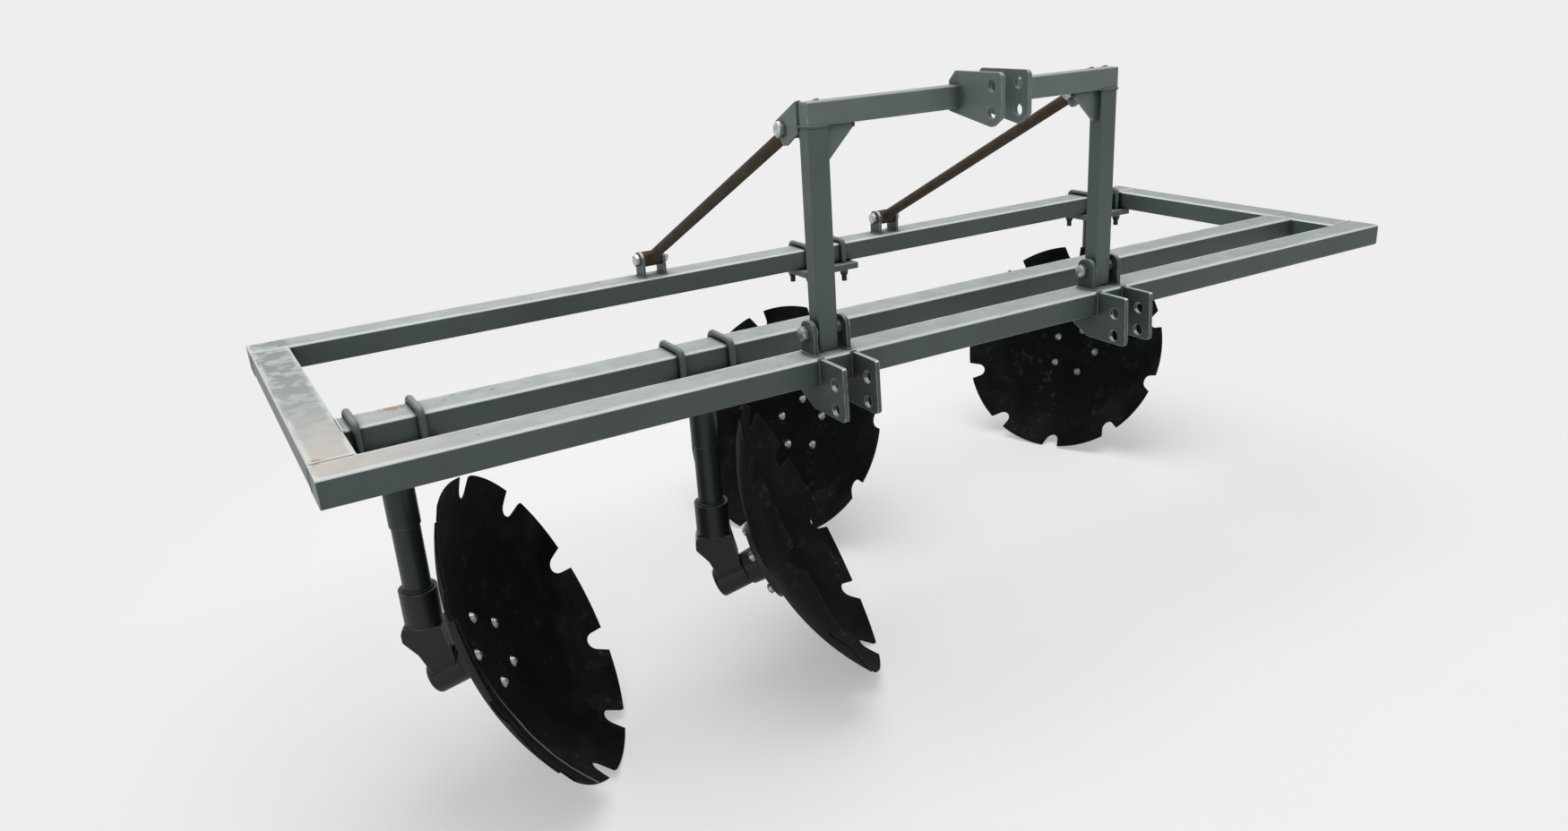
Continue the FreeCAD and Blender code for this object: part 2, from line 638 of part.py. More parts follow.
for side, middle in (("left", -UPRIGHT_X), ("right", UPRIGHT_X)):
    stay("stay_" + side, middle)
    top_lugs("stay_top_lugs_" + side, middle)
    rear_lugs("stay_rear_lugs_" + side, middle)
stay_bolts("stay_bolts")


# The disc gangs: clamp, shank, knee, bearing housing, hub and disc

def clamp_plate(label, place):
    """Plate under the beam with four holes for the U-bolts."""
    body = new_body(label)
    sketch = new_sketch(body, "XY_Plane", "outline")
    rectangle(sketch, "sizes.clamp_length", "sizes.clamp_width")
    leg = size("beam_width") / 2 + SEAT + size("u_bolt_bar") / 2
    for x in (-1, 1):
        for y in (-1, 1):
            hole(sketch, x * size("u_bolt_pitch") / 2, y * leg,
                 "sizes.u_bolt_bar + 2 * sizes.seat_gap")
    pad(body, sketch, "sizes.clamp_plate")
    body.Placement = place * at(0, 0, -size("beam_height") - size("clamp_plate"))


def u_bolts(label, place):
    """Two U-bolts over the beam, with nuts under the clamp plate."""
    body = new_body(label)
    bar = size("u_bolt_bar")
    bend = size("beam_corner") + SEAT + bar / 2
    leg = size("beam_width") / 2 + SEAT + bar / 2
    top = SEAT + bar / 2
    foot = -size("beam_height") - size("clamp_plate") - size("u_bolt_tail")
    spine = new_sketch(body, "YZ_Plane", "spine")
    near, far = leg - bend, bend * (1 - math.sqrt(0.5))
    spine.addGeometry(Part.LineSegment(vec(-leg, foot), vec(-leg, top - bend)))
    spine.addGeometry(Part.Arc(vec(-leg, top - bend), vec(-leg + far, top - far), vec(-near, top)))
    spine.addGeometry(Part.LineSegment(vec(-near, top), vec(near, top)))
    spine.addGeometry(Part.Arc(vec(near, top), vec(leg - far, top - far), vec(leg, top - bend)))
    spine.addGeometry(Part.LineSegment(vec(leg, top - bend), vec(leg, foot)))
    profile = new_sketch(body, "XY_Plane", "profile")
    profile.AttachmentOffset = at(0, -leg, foot)
    hole(profile, 0.0, 0.0, "sizes.u_bolt_bar")
    pipe = body.newObject("PartDesign::AdditivePipe", body.Name + "_bar")
    pipe.Profile = profile
    pipe.Spine = spine
    nut = bar * NUT_HEIGHT
    originals = [pipe]
    for name, y in (("front", -leg), ("rear", leg)):
        place_nut = at(0, y, -size("beam_height") - size("clamp_plate") - nut)
        feature = primitive(body, "AdditivePrism", name + "_nut", place_nut,
                            Circumradius="sizes.u_bolt_bar * %g" % HEX_CORNER)
        feature.Height = nut
        originals.append(feature)
    doc.recompute()
    pattern_along(body, spine, "N_Axis", "sizes.u_bolt_pitch", originals)
    body.Placement = place * at(-size("u_bolt_pitch") / 2, 0, 0)


def shank(label, place):
    """Round bar with a thicker upper part under the clamp plate."""
    body = new_body(label)
    top = -size("beam_height") - size("clamp_plate")
    bar = primitive(body, "AdditiveCylinder", "bar", at(0, 0, COLLAR_FOOT),
                    Radius="sizes.shank_diameter / 2")
    bar.Height = top - COLLAR_FOOT
    primitive(body, "AdditiveCylinder", "sleeve", at(0, 0, top - size("sleeve_length")),
              Radius="sizes.sleeve_diameter / 2", Height="sizes.sleeve_length")
    body.Placement = place


# The axle's own axes: +Z out of the hollow side of the disc, Z = 0 at the rim
AXLE = FreeCAD.Placement(vec(RIM_OFFSET, 0, -RIM_DROP),
                         FreeCAD.Rotation(vec(0, 1, 0), 90.0 - size("disc_tilt")))
HUB_END = DISC_BACK - size("hub_length")
HOUSING_FRONT = HUB_END - size("hub_gap")
HOUSING_BACK = HOUSING_FRONT - size("housing_length")


def beside_axle(along, above, soft=0.0):
    """Corner in the gang's upright plane, from its place along and above the axle."""
    return (RIM_OFFSET + along * math.cos(TILT) - above * math.sin(TILT),
            -RIM_DROP + along * math.sin(TILT) + above * math.cos(TILT), soft)


def knee(label, place):
    """Socket for the shank, and a block that leans over to the bearing housing."""
    body = new_body(label)
    half, barrel = size("collar_diameter") / 2, size("housing_diameter") / 2
    back, soft, inset = -half - size("knee_cheek"), size("edge_round"), size("knee_inset")
    sketch = new_sketch(body, "XZ_Plane", "outline")
    outline(sketch, [
        (half, COLLAR_FOOT, 0.0), (-half, COLLAR_FOOT, 0.0),
        (back, COLLAR_FOOT - size("knee_slope"), soft), (back, COLLAR_FOOT - size("knee_back"), soft),
        beside_axle(HOUSING_BACK + inset, barrel + size("knee_heel"), soft),
        beside_axle(HOUSING_BACK + inset, 0.0), beside_axle(HOUSING_FRONT - inset, 0.0),
        beside_axle(HOUSING_FRONT, barrel + size("knee_shoulder"), soft)])
    block = pad(body, sketch, "sizes.knee_thickness")
    doc.recompute()
    block.Midplane = True
    primitive(body, "AdditiveCylinder", "collar", at(0, 0, COLLAR_FOOT),
              Radius="sizes.collar_diameter / 2", Height="sizes.collar_length")
    primitive(body, "SubtractiveCylinder", "socket", at(0, 0, COLLAR_FOOT),
              Radius="sizes.shank_diameter / 2 + sizes.seat_gap", Height="sizes.collar_length")
    primitive(body, "SubtractiveCylinder", "saddle",
              AXLE * at(0, 0, HOUSING_BACK - size("housing_length") / 2),
              Radius="sizes.housing_diameter / 2 + sizes.seat_gap",
              Height="2 * sizes.housing_length")
    body.Placement = place


def bearing_housing(label, place):
    """Barrel across the knee's foot, closed at its outer end."""
    body = new_body(label)
    sketch = new_sketch(body, "XZ_Plane", "profile")
    radius, bore = size("housing_diameter") / 2, size("spindle_diameter") / 2 + size("spindle_play")
    floor, soft = HOUSING_FRONT - size("spindle_length") - size("hub_gap"), size("edge_round")
    outline(sketch, [(0.0, HOUSING_BACK, 0.0), (radius, HOUSING_BACK, size("housing_round")),
                     (radius, HOUSING_FRONT, soft), (bore, HOUSING_FRONT, 0.0), (bore, floor, 0.0),
                     (0.0, floor, 0.0)])
    turn(body, sketch)
    body.Placement = place * AXLE


def hub(label, place):
    """Flared hub with a flange behind the disc and a spindle in the housing."""
    body = new_body(label)
    sketch = new_sketch(body, "XZ_Plane", "profile")
    rim, neck, shaft = size("flange_diameter") / 2, size("hub_neck"), size("spindle_diameter") / 2
    flange, soft = DISC_BACK - size("flange_plate"), size("edge_round")
    tip = HOUSING_FRONT - size("spindle_length")
    outline(sketch, [(0.0, DISC_BACK, 0.0), (rim, DISC_BACK, 0.0), (rim, flange, soft),
                     (neck + size("hub_flare"), flange, size("hub_blend")), (neck, HUB_END, soft),
                     (shaft, HUB_END, 0.0), (shaft, tip, 0.0), (0.0, tip, 0.0)])
    turn(body, sketch)
    bores = new_sketch(body, "XY_Plane", "bores")
    hole(bores, size("disc_bolt_circle") / 2, 0.0, "sizes.disc_bolt + 2 * sizes.seat_gap")
    drilled = cut_through(body, bores, "bore")
    pattern_round(body, bores, "sizes.disc_bolt_count", [drilled])
    body.Placement = place


def disc(label, place):
    """Dished disc with a flat middle and round-bottomed notches in its rim."""
    body = new_body(label)
    rim, flat, sheet = RIM, size("disc_flat"), size("disc_sheet")
    inner = size("dish_radius")
    outer = inner + sheet

    def on_sphere(radius, x):
        return vec(x, DISH_CENTRE - math.sqrt(radius ** 2 - x ** 2))

    back_flat = math.sqrt(outer ** 2 - (DISH_CENTRE - DISC_BACK) ** 2)
    points = [vec(0, -DISH_DEPTH), on_sphere(inner, flat), on_sphere(inner, rim),
              on_sphere(outer, rim), on_sphere(outer, back_flat), vec(0, DISC_BACK)]
    profile = new_sketch(body, "XZ_Plane", "profile")
    profile.addGeometry(Part.LineSegment(points[0], points[1]))
    profile.addGeometry(Part.Arc(points[1], on_sphere(inner, (flat + rim) / 2), points[2]))
    profile.addGeometry(Part.LineSegment(points[2], points[3]))
    profile.addGeometry(Part.Arc(points[3], on_sphere(outer, (flat + rim) / 2), points[4]))
    profile.addGeometry(Part.LineSegment(points[4], points[5]))
    profile.addGeometry(Part.LineSegment(points[5], points[0]))
    turn(body, profile)

    bores = new_sketch(body, "XY_Plane", "bores")
    circle, first = size("disc_bolt_circle") / 2, math.radians(size("disc_bolt_turn"))
    hole(bores, circle * math.cos(first), circle * math.sin(first),
         "sizes.disc_bolt + 2 * sizes.seat_gap")
    drilled = cut_through(body, bores, "bore")
    pattern_round(body, bores, "sizes.disc_bolt_count", [drilled])

    flare, bottom = math.radians(size("notch_flare")), size("notch_radius")
    middle = rim - size("notch_depth") + bottom
    side = (middle - bottom * math.sin(flare), bottom * math.cos(flare))
    mouth = side[1] + (rim + sheet - side[0]) * math.tan(flare)
    notch = new_sketch(body, "XY_Plane", "notch")
    notch.addGeometry(Part.Arc(vec(side[0], side[1]), vec(middle - bottom, 0),
                               vec(side[0], -side[1])))
    notch.addGeometry(Part.LineSegment(vec(side[0], -side[1]), vec(rim + sheet, -mouth)))
    notch.addGeometry(Part.LineSegment(vec(rim + sheet, -mouth), vec(rim + sheet, mouth)))
    notch.addGeometry(Part.LineSegment(vec(rim + sheet, mouth), vec(side[0], side[1])))
    cut = cut_through(body, notch, "notch_cut")
    pattern_round(body, notch, "sizes.notch_count", [cut]).Label = label + "_notches"
    body.Placement = place


def disc_bolts(label, place):
    """Round-headed bolts on the hollow side, nuts behind the hub's flange."""
    body = new_body(label)
    shaft, head, nut = (size(name) / 2 for name in ("disc_bolt", "disc_bolt_head", "disc_bolt_nut"))
    front, back = -DISH_DEPTH, DISC_BACK - size("flange_plate")
    nut_end = back - size("disc_bolt") * NUT_HEIGHT
    end = nut_end - size("disc_bolt") * BOLT_END
    sketch = new_sketch(body, "XZ_Plane", "profile")
    outline(sketch, [
        (0.0, front + shaft, 0.0), (head - shaft, front + shaft, 0.0),
        (head, front, 0.0), (shaft, front, 0.0), (shaft, back, 0.0), (nut, back, 0.0),
        (nut, nut_end, 0.0), (shaft, nut_end, 0.0), (shaft, end, 0.0), (0.0, end, 0.0)])
    sketch.AttachmentOffset = at(size("disc_bolt_circle") / 2, 0, 0)
    bolt = turn(body, sketch)
    centre = new_sketch(body, "XY_Plane", "centre")
    hole(centre, 0.0, 0.0, "sizes.disc_bolt_circle")
    doc.recompute()
    pattern_round(body, centre, "sizes.disc_bolt_count", [bolt])
    body.Placement = place


for number, start, distance, beam, faces, toe, spin in GANGS:
    x = MEASURED_FROM[start] + distance
    clamp_at = at(x, BEAM_Y[beam], BEAM_TOP)
    heading = -toe if faces == "right" else 180.0 + toe
    gang_at = at(x, BEAM_Y[beam], BEAM_TOP, (0, 0, 1), heading)
    clamp_plate("clamp_plate_%d" % number, clamp_at)
    u_bolts("u_bolts_%d" % number, clamp_at)
    shank("shank_%d" % number, gang_at)
    knee("knee_%d" % number, gang_at)
    bearing_housing("bearing_housing_%d" % number, gang_at)
    turned = gang_at * AXLE * at(0, 0, 0, (0, 0, 1), spin)
    bolted = turned * at(0, 0, 0, (0, 0, 1), size("disc_bolt_turn"))
    hub("hub_%d" % number, bolted)
    disc("disc_%d" % number, turned)
    disc_bolts("disc_bolts_%d" % number, bolted)


# Every object has to be sound before anything is written

doc.recompute()
for item in doc.Objects:
    if "Invalid" in item.State or "Error" in item.State:
        raise ValueError("%s is in state %s" % (item.Name, item.State))
for piece in pieces:
    if piece.Shape.isNull() or not piece.Shape.isValid():
        raise ValueError(piece.Label + " has no sound shape")
os.makedirs("parts", exist_ok=True)
for piece in pieces:
    piece.Shape.exportStep("parts/%s.step" % piece.Label)
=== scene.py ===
"""Finishes, welds, fittings and stage of the mounted disc ridger, as an add-on run as a script."""

import json
import math
import random

import bmesh
import bpy
from mathutils import Matrix, Vector


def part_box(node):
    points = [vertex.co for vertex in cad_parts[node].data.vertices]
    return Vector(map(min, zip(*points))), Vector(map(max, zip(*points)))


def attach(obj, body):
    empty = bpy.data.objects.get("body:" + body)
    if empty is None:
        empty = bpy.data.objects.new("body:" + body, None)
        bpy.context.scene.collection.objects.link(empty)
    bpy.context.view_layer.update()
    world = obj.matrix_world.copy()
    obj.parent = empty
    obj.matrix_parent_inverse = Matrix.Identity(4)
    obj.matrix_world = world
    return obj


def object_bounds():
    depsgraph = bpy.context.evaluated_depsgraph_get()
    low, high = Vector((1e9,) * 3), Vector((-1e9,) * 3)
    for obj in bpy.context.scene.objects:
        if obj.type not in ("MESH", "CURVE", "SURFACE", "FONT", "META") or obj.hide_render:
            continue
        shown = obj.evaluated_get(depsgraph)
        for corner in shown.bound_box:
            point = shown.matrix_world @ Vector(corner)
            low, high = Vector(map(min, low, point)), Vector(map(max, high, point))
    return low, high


bl_info = {
    "name": "Disc ridger finish",
    "version": (1, 0, 0),
    "blender": (4, 5, 0),
    "location": "3D View > Sidebar > Ridger",
    "description": "Dresses the disc ridger with its paint, welds, threads and wear",
    "category": "Object",
}

MM = 0.001
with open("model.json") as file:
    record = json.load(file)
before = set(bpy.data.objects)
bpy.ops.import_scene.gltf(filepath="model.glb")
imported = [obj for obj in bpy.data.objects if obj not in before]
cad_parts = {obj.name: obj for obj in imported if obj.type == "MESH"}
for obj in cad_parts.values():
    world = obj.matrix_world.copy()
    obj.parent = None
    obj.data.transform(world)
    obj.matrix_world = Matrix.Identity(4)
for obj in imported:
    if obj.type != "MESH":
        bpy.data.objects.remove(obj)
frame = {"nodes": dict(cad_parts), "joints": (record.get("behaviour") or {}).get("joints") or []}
NODES = frame["nodes"]
CAD_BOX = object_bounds()

# The gangs' numbers, and the joint of each turning body
GANGS = [1, 2, 3, 4]
AXLES = {joint["child"]: joint for joint in frame["joints"]}

# The solid pieces of each finish
FRAME_NODES = ["front_beam", "middle_beam", "rear_beam", "end_tube_left", "end_tube_right"]
PAINTED_NODES = [name for name in NODES if name.startswith(
    ("mast_foot_bush", "mast_upright", "stay_rear_lugs", "beam_end_caps"))]
LUG_NODES = [name for name in NODES if name.startswith("mast_foot_lugs")]
UPPER_NODES = [name for name in NODES if name.startswith(
    ("mast_crossbar", "mast_gussets", "mast_end_caps", "stay_top_lugs", "top_hitch"))]
CLAMP_NODES = [name for name in NODES if name.startswith(("u_bolts", "clamp_plate"))]
HITCH_NODES = [name for name in NODES if name.startswith("lower_hitch")]
SHANK_NODES = [name for name in NODES if name.startswith("shank")]
KNEE_NODES = [name for name in NODES if name.startswith(("knee", "bearing_housing", "hub"))]
STAY_NODES = ["stay_left", "stay_right"]
ZINC_NODES = ["mast_foot_bolts", "stay_bolts"]
SOILED_NODES = ["disc_bolts_%d" % number for number in GANGS]


# Colours and nodes

def linear(code):
    """Linear red, green, blue and alpha of an sRGB hex colour."""
    values = [int(code[index:index + 2], 16) / 255 for index in (1, 3, 5)]
    return [v / 12.92 if v <= 0.04045 else ((v + 0.055) / 1.055) ** 2.4 for v in values] + [1.0]


# Tints of wear and dirt, and of painted highlights and a painted reflection streak, as sRGB hex
WEAR_AND_PAINTED_LIGHT = {
    "edge_highlight": "#e4e9e9",  # painted highlight along the edges of the tops
    "corner_highlight": "#d9dfdf",  # painted highlight on the tubes' rounded upper corners
    "flake": "#747c7a",  # older enamel where the top coat has flaked
    "pale_soil": "#c3b9b0",  # dried soil at the frame's front corner
    "speck": "#5d5750",  # small chips in the tops
    "dust_on_black": "#232623",  # dust on the outer part of the discs
    "soil_on_black": "#2d2a24",  # dried soil on the discs
    "painted_reflection_streak": "#6a6f6c",  # painted reflection streak on a disc
    "scuff": "#565b58",  # knocks of stones on the discs
    "disc_edge": "#5f6563",  # steel that shows at a disc's edges
    "dark_rust": "#2e281f",  # older rust between the brown
    "rust_grain": "#685543",  # paler grain of the rust
    "zinc_cloud": "#6b6f6f",  # dulled zinc
    "greasy_soil": "#4a4c48",  # soil that sticks to the disc bolts
    "oxide": "#15191a",  # blackened steel
    "oxide_crest": "#6a6f70",  # steel that shows at its edges
}


def tint(name):
    """Linear colour of one of the tints of wear, dirt and painted light."""
    return linear(WEAR_AND_PAINTED_LIGHT[name])


def add(tree, kind, sockets=None, **settings):
    """Adds a node, sets its properties, and sets or links its input sockets."""
    item = tree.nodes.new(kind)
    for key, value in settings.items():
        setattr(item, key, value)
    for key, value in (sockets or {}).items():
        if isinstance(value, bpy.types.NodeSocket):
            tree.links.new(value, item.inputs[key])
        else:
            item.inputs[key].default_value = value
    return item


# Sockets of the colour mix node: first colour, second colour, and its result
MIX_A, MIX_B, MIX_OUT = 6, 7, 2


class RidgerColours(bpy.types.PropertyGroup):
    """Colours of the paints and metals."""

    frame_paint: bpy.props.FloatVectorProperty(
        name="Frame paint", description="Grey-green machinery enamel of the frame and lower hitch",
        default=linear("#444e4b"), subtype="COLOR", size=4, min=0.0, max=1.0)
    mast_paint: bpy.props.FloatVectorProperty(
        name="Mast paint", description="The same enamel, less weathered, on mast and clamps",
        default=linear("#4b5653"), subtype="COLOR", size=4, min=0.0, max=1.0)
    upper_paint: bpy.props.FloatVectorProperty(
        name="Upper paint", description="The same enamel, paler with dust, at the top of the mast",
        default=linear("#5f6b69"), subtype="COLOR", size=4, min=0.0, max=1.0)
    # Chalk and dust on faces that look up, together with a paler painted sheen there
    chalk_and_sheen: bpy.props.FloatVectorProperty(
        name="Chalked paint", description="Chalked and dusty enamel on faces that look up",
        default=linear("#a8aead"), subtype="COLOR", size=4, min=0.0, max=1.0)
    # Painted shade, darkening the corners between pieces
    crevice_shade: bpy.props.FloatVectorProperty(
        name="Grime", description="Dirt and old grease in the corners between pieces",
        default=linear("#141917"), subtype="COLOR", size=4, min=0.0, max=1.0)
    rubbed_edge: bpy.props.FloatVectorProperty(
        name="Rubbed edge", description="Primer that shows where an edge is rubbed",
        default=linear("#b4bcb9"), subtype="COLOR", size=4, min=0.0, max=1.0)
    # Darker than the mast's enamel as painted shade on the lugs
    shaded_lug_paint: bpy.props.FloatVectorProperty(
        name="Lug paint", description="Grimy enamel of the lugs at the mast's feet",
        default=linear("#3b4542"), subtype="COLOR", size=4, min=0.0, max=1.0)
    shank_paint: bpy.props.FloatVectorProperty(
        name="Shank paint", description="Dark grey-green enamel of the shanks",
        default=linear("#252e2a"), subtype="COLOR", size=4, min=0.0, max=1.0)
    # Darker than the shanks' enamel as painted shade on knees, housings and hubs
    shaded_gang_paint: bpy.props.FloatVectorProperty(
        name="Gang paint", description="Dark grey-green enamel of knees, housings and hubs",
        default=linear("#181f1c"), subtype="COLOR", size=4, min=0.0, max=1.0)
    disc_enamel: bpy.props.FloatVectorProperty(
        name="Disc enamel", description="Black enamel of the discs",
        default=linear("#090b0a"), subtype="COLOR", size=4, min=0.0, max=1.0)
    brown_rust: bpy.props.FloatVectorProperty(
        name="Brown rust", description="Even rust of the unpainted stays",
        default=linear("#463a2c"), subtype="COLOR", size=4, min=0.0, max=1.0)
    orange_rust: bpy.props.FloatVectorProperty(
        name="Orange rust", description="Fresh rust in chips of the paint",
        default=linear("#93796a"), subtype="COLOR", size=4, min=0.0, max=1.0)
    zinc: bpy.props.FloatVectorProperty(
        name="Zinc plating", description="Plated bolts and nuts",
        default=linear("#c6caca"), subtype="COLOR", size=4, min=0.0, max=1.0)
    backdrop: bpy.props.FloatVectorProperty(
        name="Backdrop", description="Floor and backdrop",
        default=linear("#eeeeee"), subtype="COLOR", size=4, min=0.0, max=1.0)


class RidgerSizes(bpy.types.PropertyGroup):
    """Sizes of the welds and fittings, in metres."""

    bead: bpy.props.FloatProperty(
        name="Weld bead", description="Radius of the weld beads", default=4.0 * MM,
        min=1.0 * MM, max=12.0 * MM, unit="LENGTH")
    ripple: bpy.props.FloatProperty(
        name="Weld ripple", description="Spacing of the ripples of a bead", default=5.0 * MM,
        min=2.0 * MM, max=15.0 * MM, unit="LENGTH")
    washer: bpy.props.FloatProperty(
        name="Washer", description="Thickness of the plain washers", default=3.0 * MM,
        min=1.0 * MM, max=6.0 * MM, unit="LENGTH")
    thread: bpy.props.FloatProperty(
        name="Thread pitch", description="Pitch of the threads of the U-bolts",
        default=2.5 * MM, min=1.0 * MM, max=5.0 * MM, unit="LENGTH")
    edge: bpy.props.FloatProperty(
        name="Rubbed edge width", description="Width over which edges are rubbed",
        default=3.0 * MM, min=0.5 * MM, max=10.0 * MM, unit="LENGTH")


def colours():
    """The colours that the panel shows."""
    return bpy.context.scene.ridger_colours


def lengths():
    """The sizes that the panel shows."""
    return bpy.context.scene.ridger_sizes


# Materials

def new_material(name):
    """An empty node material with its shader, output and object coordinates."""
    material = bpy.data.materials.new(name)
    material.use_nodes = True
    tree = material.node_tree
    tree.nodes.clear()
    shader = add(tree, "ShaderNodeBsdfPrincipled")
    add(tree, "ShaderNodeOutputMaterial", {"Surface": shader.outputs["BSDF"]})
    place = add(tree, "ShaderNodeTexCoord").outputs["Object"]
    return material, tree, shader, place


def noise(tree, place, grain, detail=4.0, roughness=0.55):
    """Grey noise whose patches are about grain metres wide."""
    item = add(tree, "ShaderNodeTexNoise",
               {"Vector": place, "Scale": 1 / grain, "Detail": detail, "Roughness": roughness})
    return item.outputs["Fac"]


def ramp(tree, value, low, high, start=0.0, end=1.0):
    """Maps low..high of a value to start..end, held at both ends."""
    return add(tree, "ShaderNodeMapRange", {
        "Value": value, "From Min": low, "From Max": high, "To Min": start, "To Max": end,
    }).outputs["Result"]


def maths(tree, operation, first, second):
    """Result of an operation on two values or sockets."""
    return add(tree, "ShaderNodeMath", {0: first, 1: second}, operation=operation).outputs["Value"]


def blend(tree, share, first, second, kind="MIX"):
    """Mixes two colours by a share."""
    return add(tree, "ShaderNodeMix", {"Factor": share, MIX_A: first, MIX_B: second},
               data_type="RGBA", blend_type=kind).outputs[MIX_OUT]


def rubbed(tree, place, width, grain=14.0 * MM):
    """Mask of edges and corners, broken up as hands and chains rub them; on the tops it also shapes
    the band of a painted highlight.
    """
    rounded = add(tree, "ShaderNodeBevel", {"Radius": width}, samples=6)
    flat = add(tree, "ShaderNodeNewGeometry")
    match = add(tree, "ShaderNodeVectorMath",
                {0: rounded.outputs["Normal"], 1: flat.outputs["Normal"]}, operation="DOT_PRODUCT")
    bare = ramp(tree, match.outputs["Value"], 0.985, 0.86)
    patches = ramp(tree, noise(tree, place, grain), 0.34, 0.56)
    return maths(tree, "MULTIPLY", bare, patches)


def looking_up(tree, low=0.55, high=0.95):
    """Mask of faces that look up, where dust lies and paint chalks, and where a paler painted sheen
    and painted highlights go.
    """
    flat = add(tree, "ShaderNodeNewGeometry")
    parts = add(tree, "ShaderNodeSeparateXYZ", {0: flat.outputs["Normal"]})
    return ramp(tree, parts.outputs["Z"], low, high)


def upper_corners(tree):
    """Mask of the tubes' rounded upper corners, between their sides and their tops, where a painted
    highlight goes.
    """
    return maths(tree, "MULTIPLY", looking_up(tree, 0.3, 0.5), looking_up(tree, 0.97, 0.9))


def relief(tree, shader, height, depth, strength):
    """Gives the shader a bump of a height socket, depth metres deep."""
    bump = add(tree, "ShaderNodeBump", {"Height": height, "Distance": depth, "Strength": strength})
    tree.links.new(bump.outputs["Normal"], shader.inputs["Normal"])


def top_edge_highlight(tree, place):
    """Mask of a painted highlight in a band 16 mm wide along the edges of the tops,
    broken over spans of 90 mm."""
    band = rubbed(tree, place, 16.0 * MM, 90.0 * MM)
    return maths(tree, "MULTIPLY", band, looking_up(tree, 0.9, 0.98))


def painted_crevice_shade(tree, reach):
    """Mask of painted shade in the corners between pieces that lie within reach of each other."""
    open_sky = add(tree, "ShaderNodeAmbientOcclusion", {"Distance": reach}, samples=8)
    return ramp(tree, open_sky.outputs["AO"], 0.85, 0.4)


# The enamel that flakes, carries a painted highlight along the edges of its tops, and has less dust
# and painted sheen to the right
FLAKING = "frame_enamel"
# Share of the left end's dust and painted sheen that lies on the frame's right end
DUST_AND_SHEEN_AT_RIGHT = 0.66


def machine_enamel(name, paint, chalk_and_sheen_share, rubbing, corners, reach):
    """Alkyd machinery enamel sprayed on steel: satin, slightly uneven in tone and orange-peeled,
    chalked and dusty on top with a paler painted sheen there, painted with a highlight on the tops'
    rounded corners, rubbed to a pale primer along its edges, and darker with painted shade in its
    corners, where another face stands within reach."""
    material, tree, shader, place = new_material(name)
    tints = colours()
    # The tone wanders by about an eighth over spans of 220 mm
    tone = ramp(tree, noise(tree, place, 220.0 * MM, 5.0), 0.3, 0.7, 0.86, 1.12)
    mottled = blend(tree, 1.0, list(getattr(tints, paint)), add(tree, "ShaderNodeCombineColor", {
        "Red": tone, "Green": tone, "Blue": tone}).outputs["Color"], "MULTIPLY")
    # Dust and the painted sheen on top lie thinner in patches of about 70 mm
    dust_and_sheen = ramp(tree, noise(tree, place, 70.0 * MM, 6.0, 0.62), 0.3, 0.62, 0.72, 1.0)
    # Chalk and dust on the faces that look up, with a paler painted sheen there
    chalk_and_sheen = maths(tree, "MULTIPLY", maths(tree, "MULTIPLY", looking_up(tree), dust_and_sheen), chalk_and_sheen_share)
    if name == FLAKING:
        along = add(tree, "ShaderNodeSeparateXYZ", {0: place}).outputs["X"]
        chalk_and_sheen = maths(tree, "MULTIPLY", chalk_and_sheen, ramp(
            tree, along, CAD_BOX[0].x, CAD_BOX[1].x, 1.0, DUST_AND_SHEEN_AT_RIGHT))
    colour = blend(tree, chalk_and_sheen, mottled, list(tints.chalk_and_sheen))
    if name == FLAKING:
        colour = flaked_patches(tree, place, colour)
        # Painted highlight in a band along the edges of the tops
        colour = blend(tree, maths(tree, "MULTIPLY", top_edge_highlight(tree, place), 0.8), colour,
                       tint("edge_highlight"))
    # Painted highlight on the tubes' rounded upper corners
    colour = blend(tree, maths(tree, "MULTIPLY", upper_corners(tree), corners), colour,
                   tint("corner_highlight"))
    edges = maths(tree, "MULTIPLY", rubbed(tree, place, lengths().edge), rubbing)
    colour = blend(tree, edges, colour, list(tints.rubbed_edge))
    # Painted shade in the corners between pieces
    colour = blend(tree, maths(tree, "MULTIPLY", painted_crevice_shade(tree, reach), 0.9), colour,
                   list(tints.crevice_shade))
    tree.links.new(colour, shader.inputs["Base Color"])
    tree.links.new(ramp(tree, chalk_and_sheen, 0.0, 1.0, 0.4, 0.62), shader.inputs["Roughness"])
    shader.inputs["Specular IOR Level"].default_value = 0.3
    # Orange peel of 3 mm on waves of 40 mm
    peel = maths(tree, "ADD", noise(tree, place, 3.0 * MM, 2.0), noise(tree, place, 40.0 * MM, 3.0))
    relief(tree, shader, peel, 0.4 * MM, 0.3)
    return material


# Where the frame has rusted: place and reach, in metres
RUST_SPOTS = [((-1.302, -0.229, 0.845), 0.03), ((-1.482, -0.452, 0.845), 0.016)]


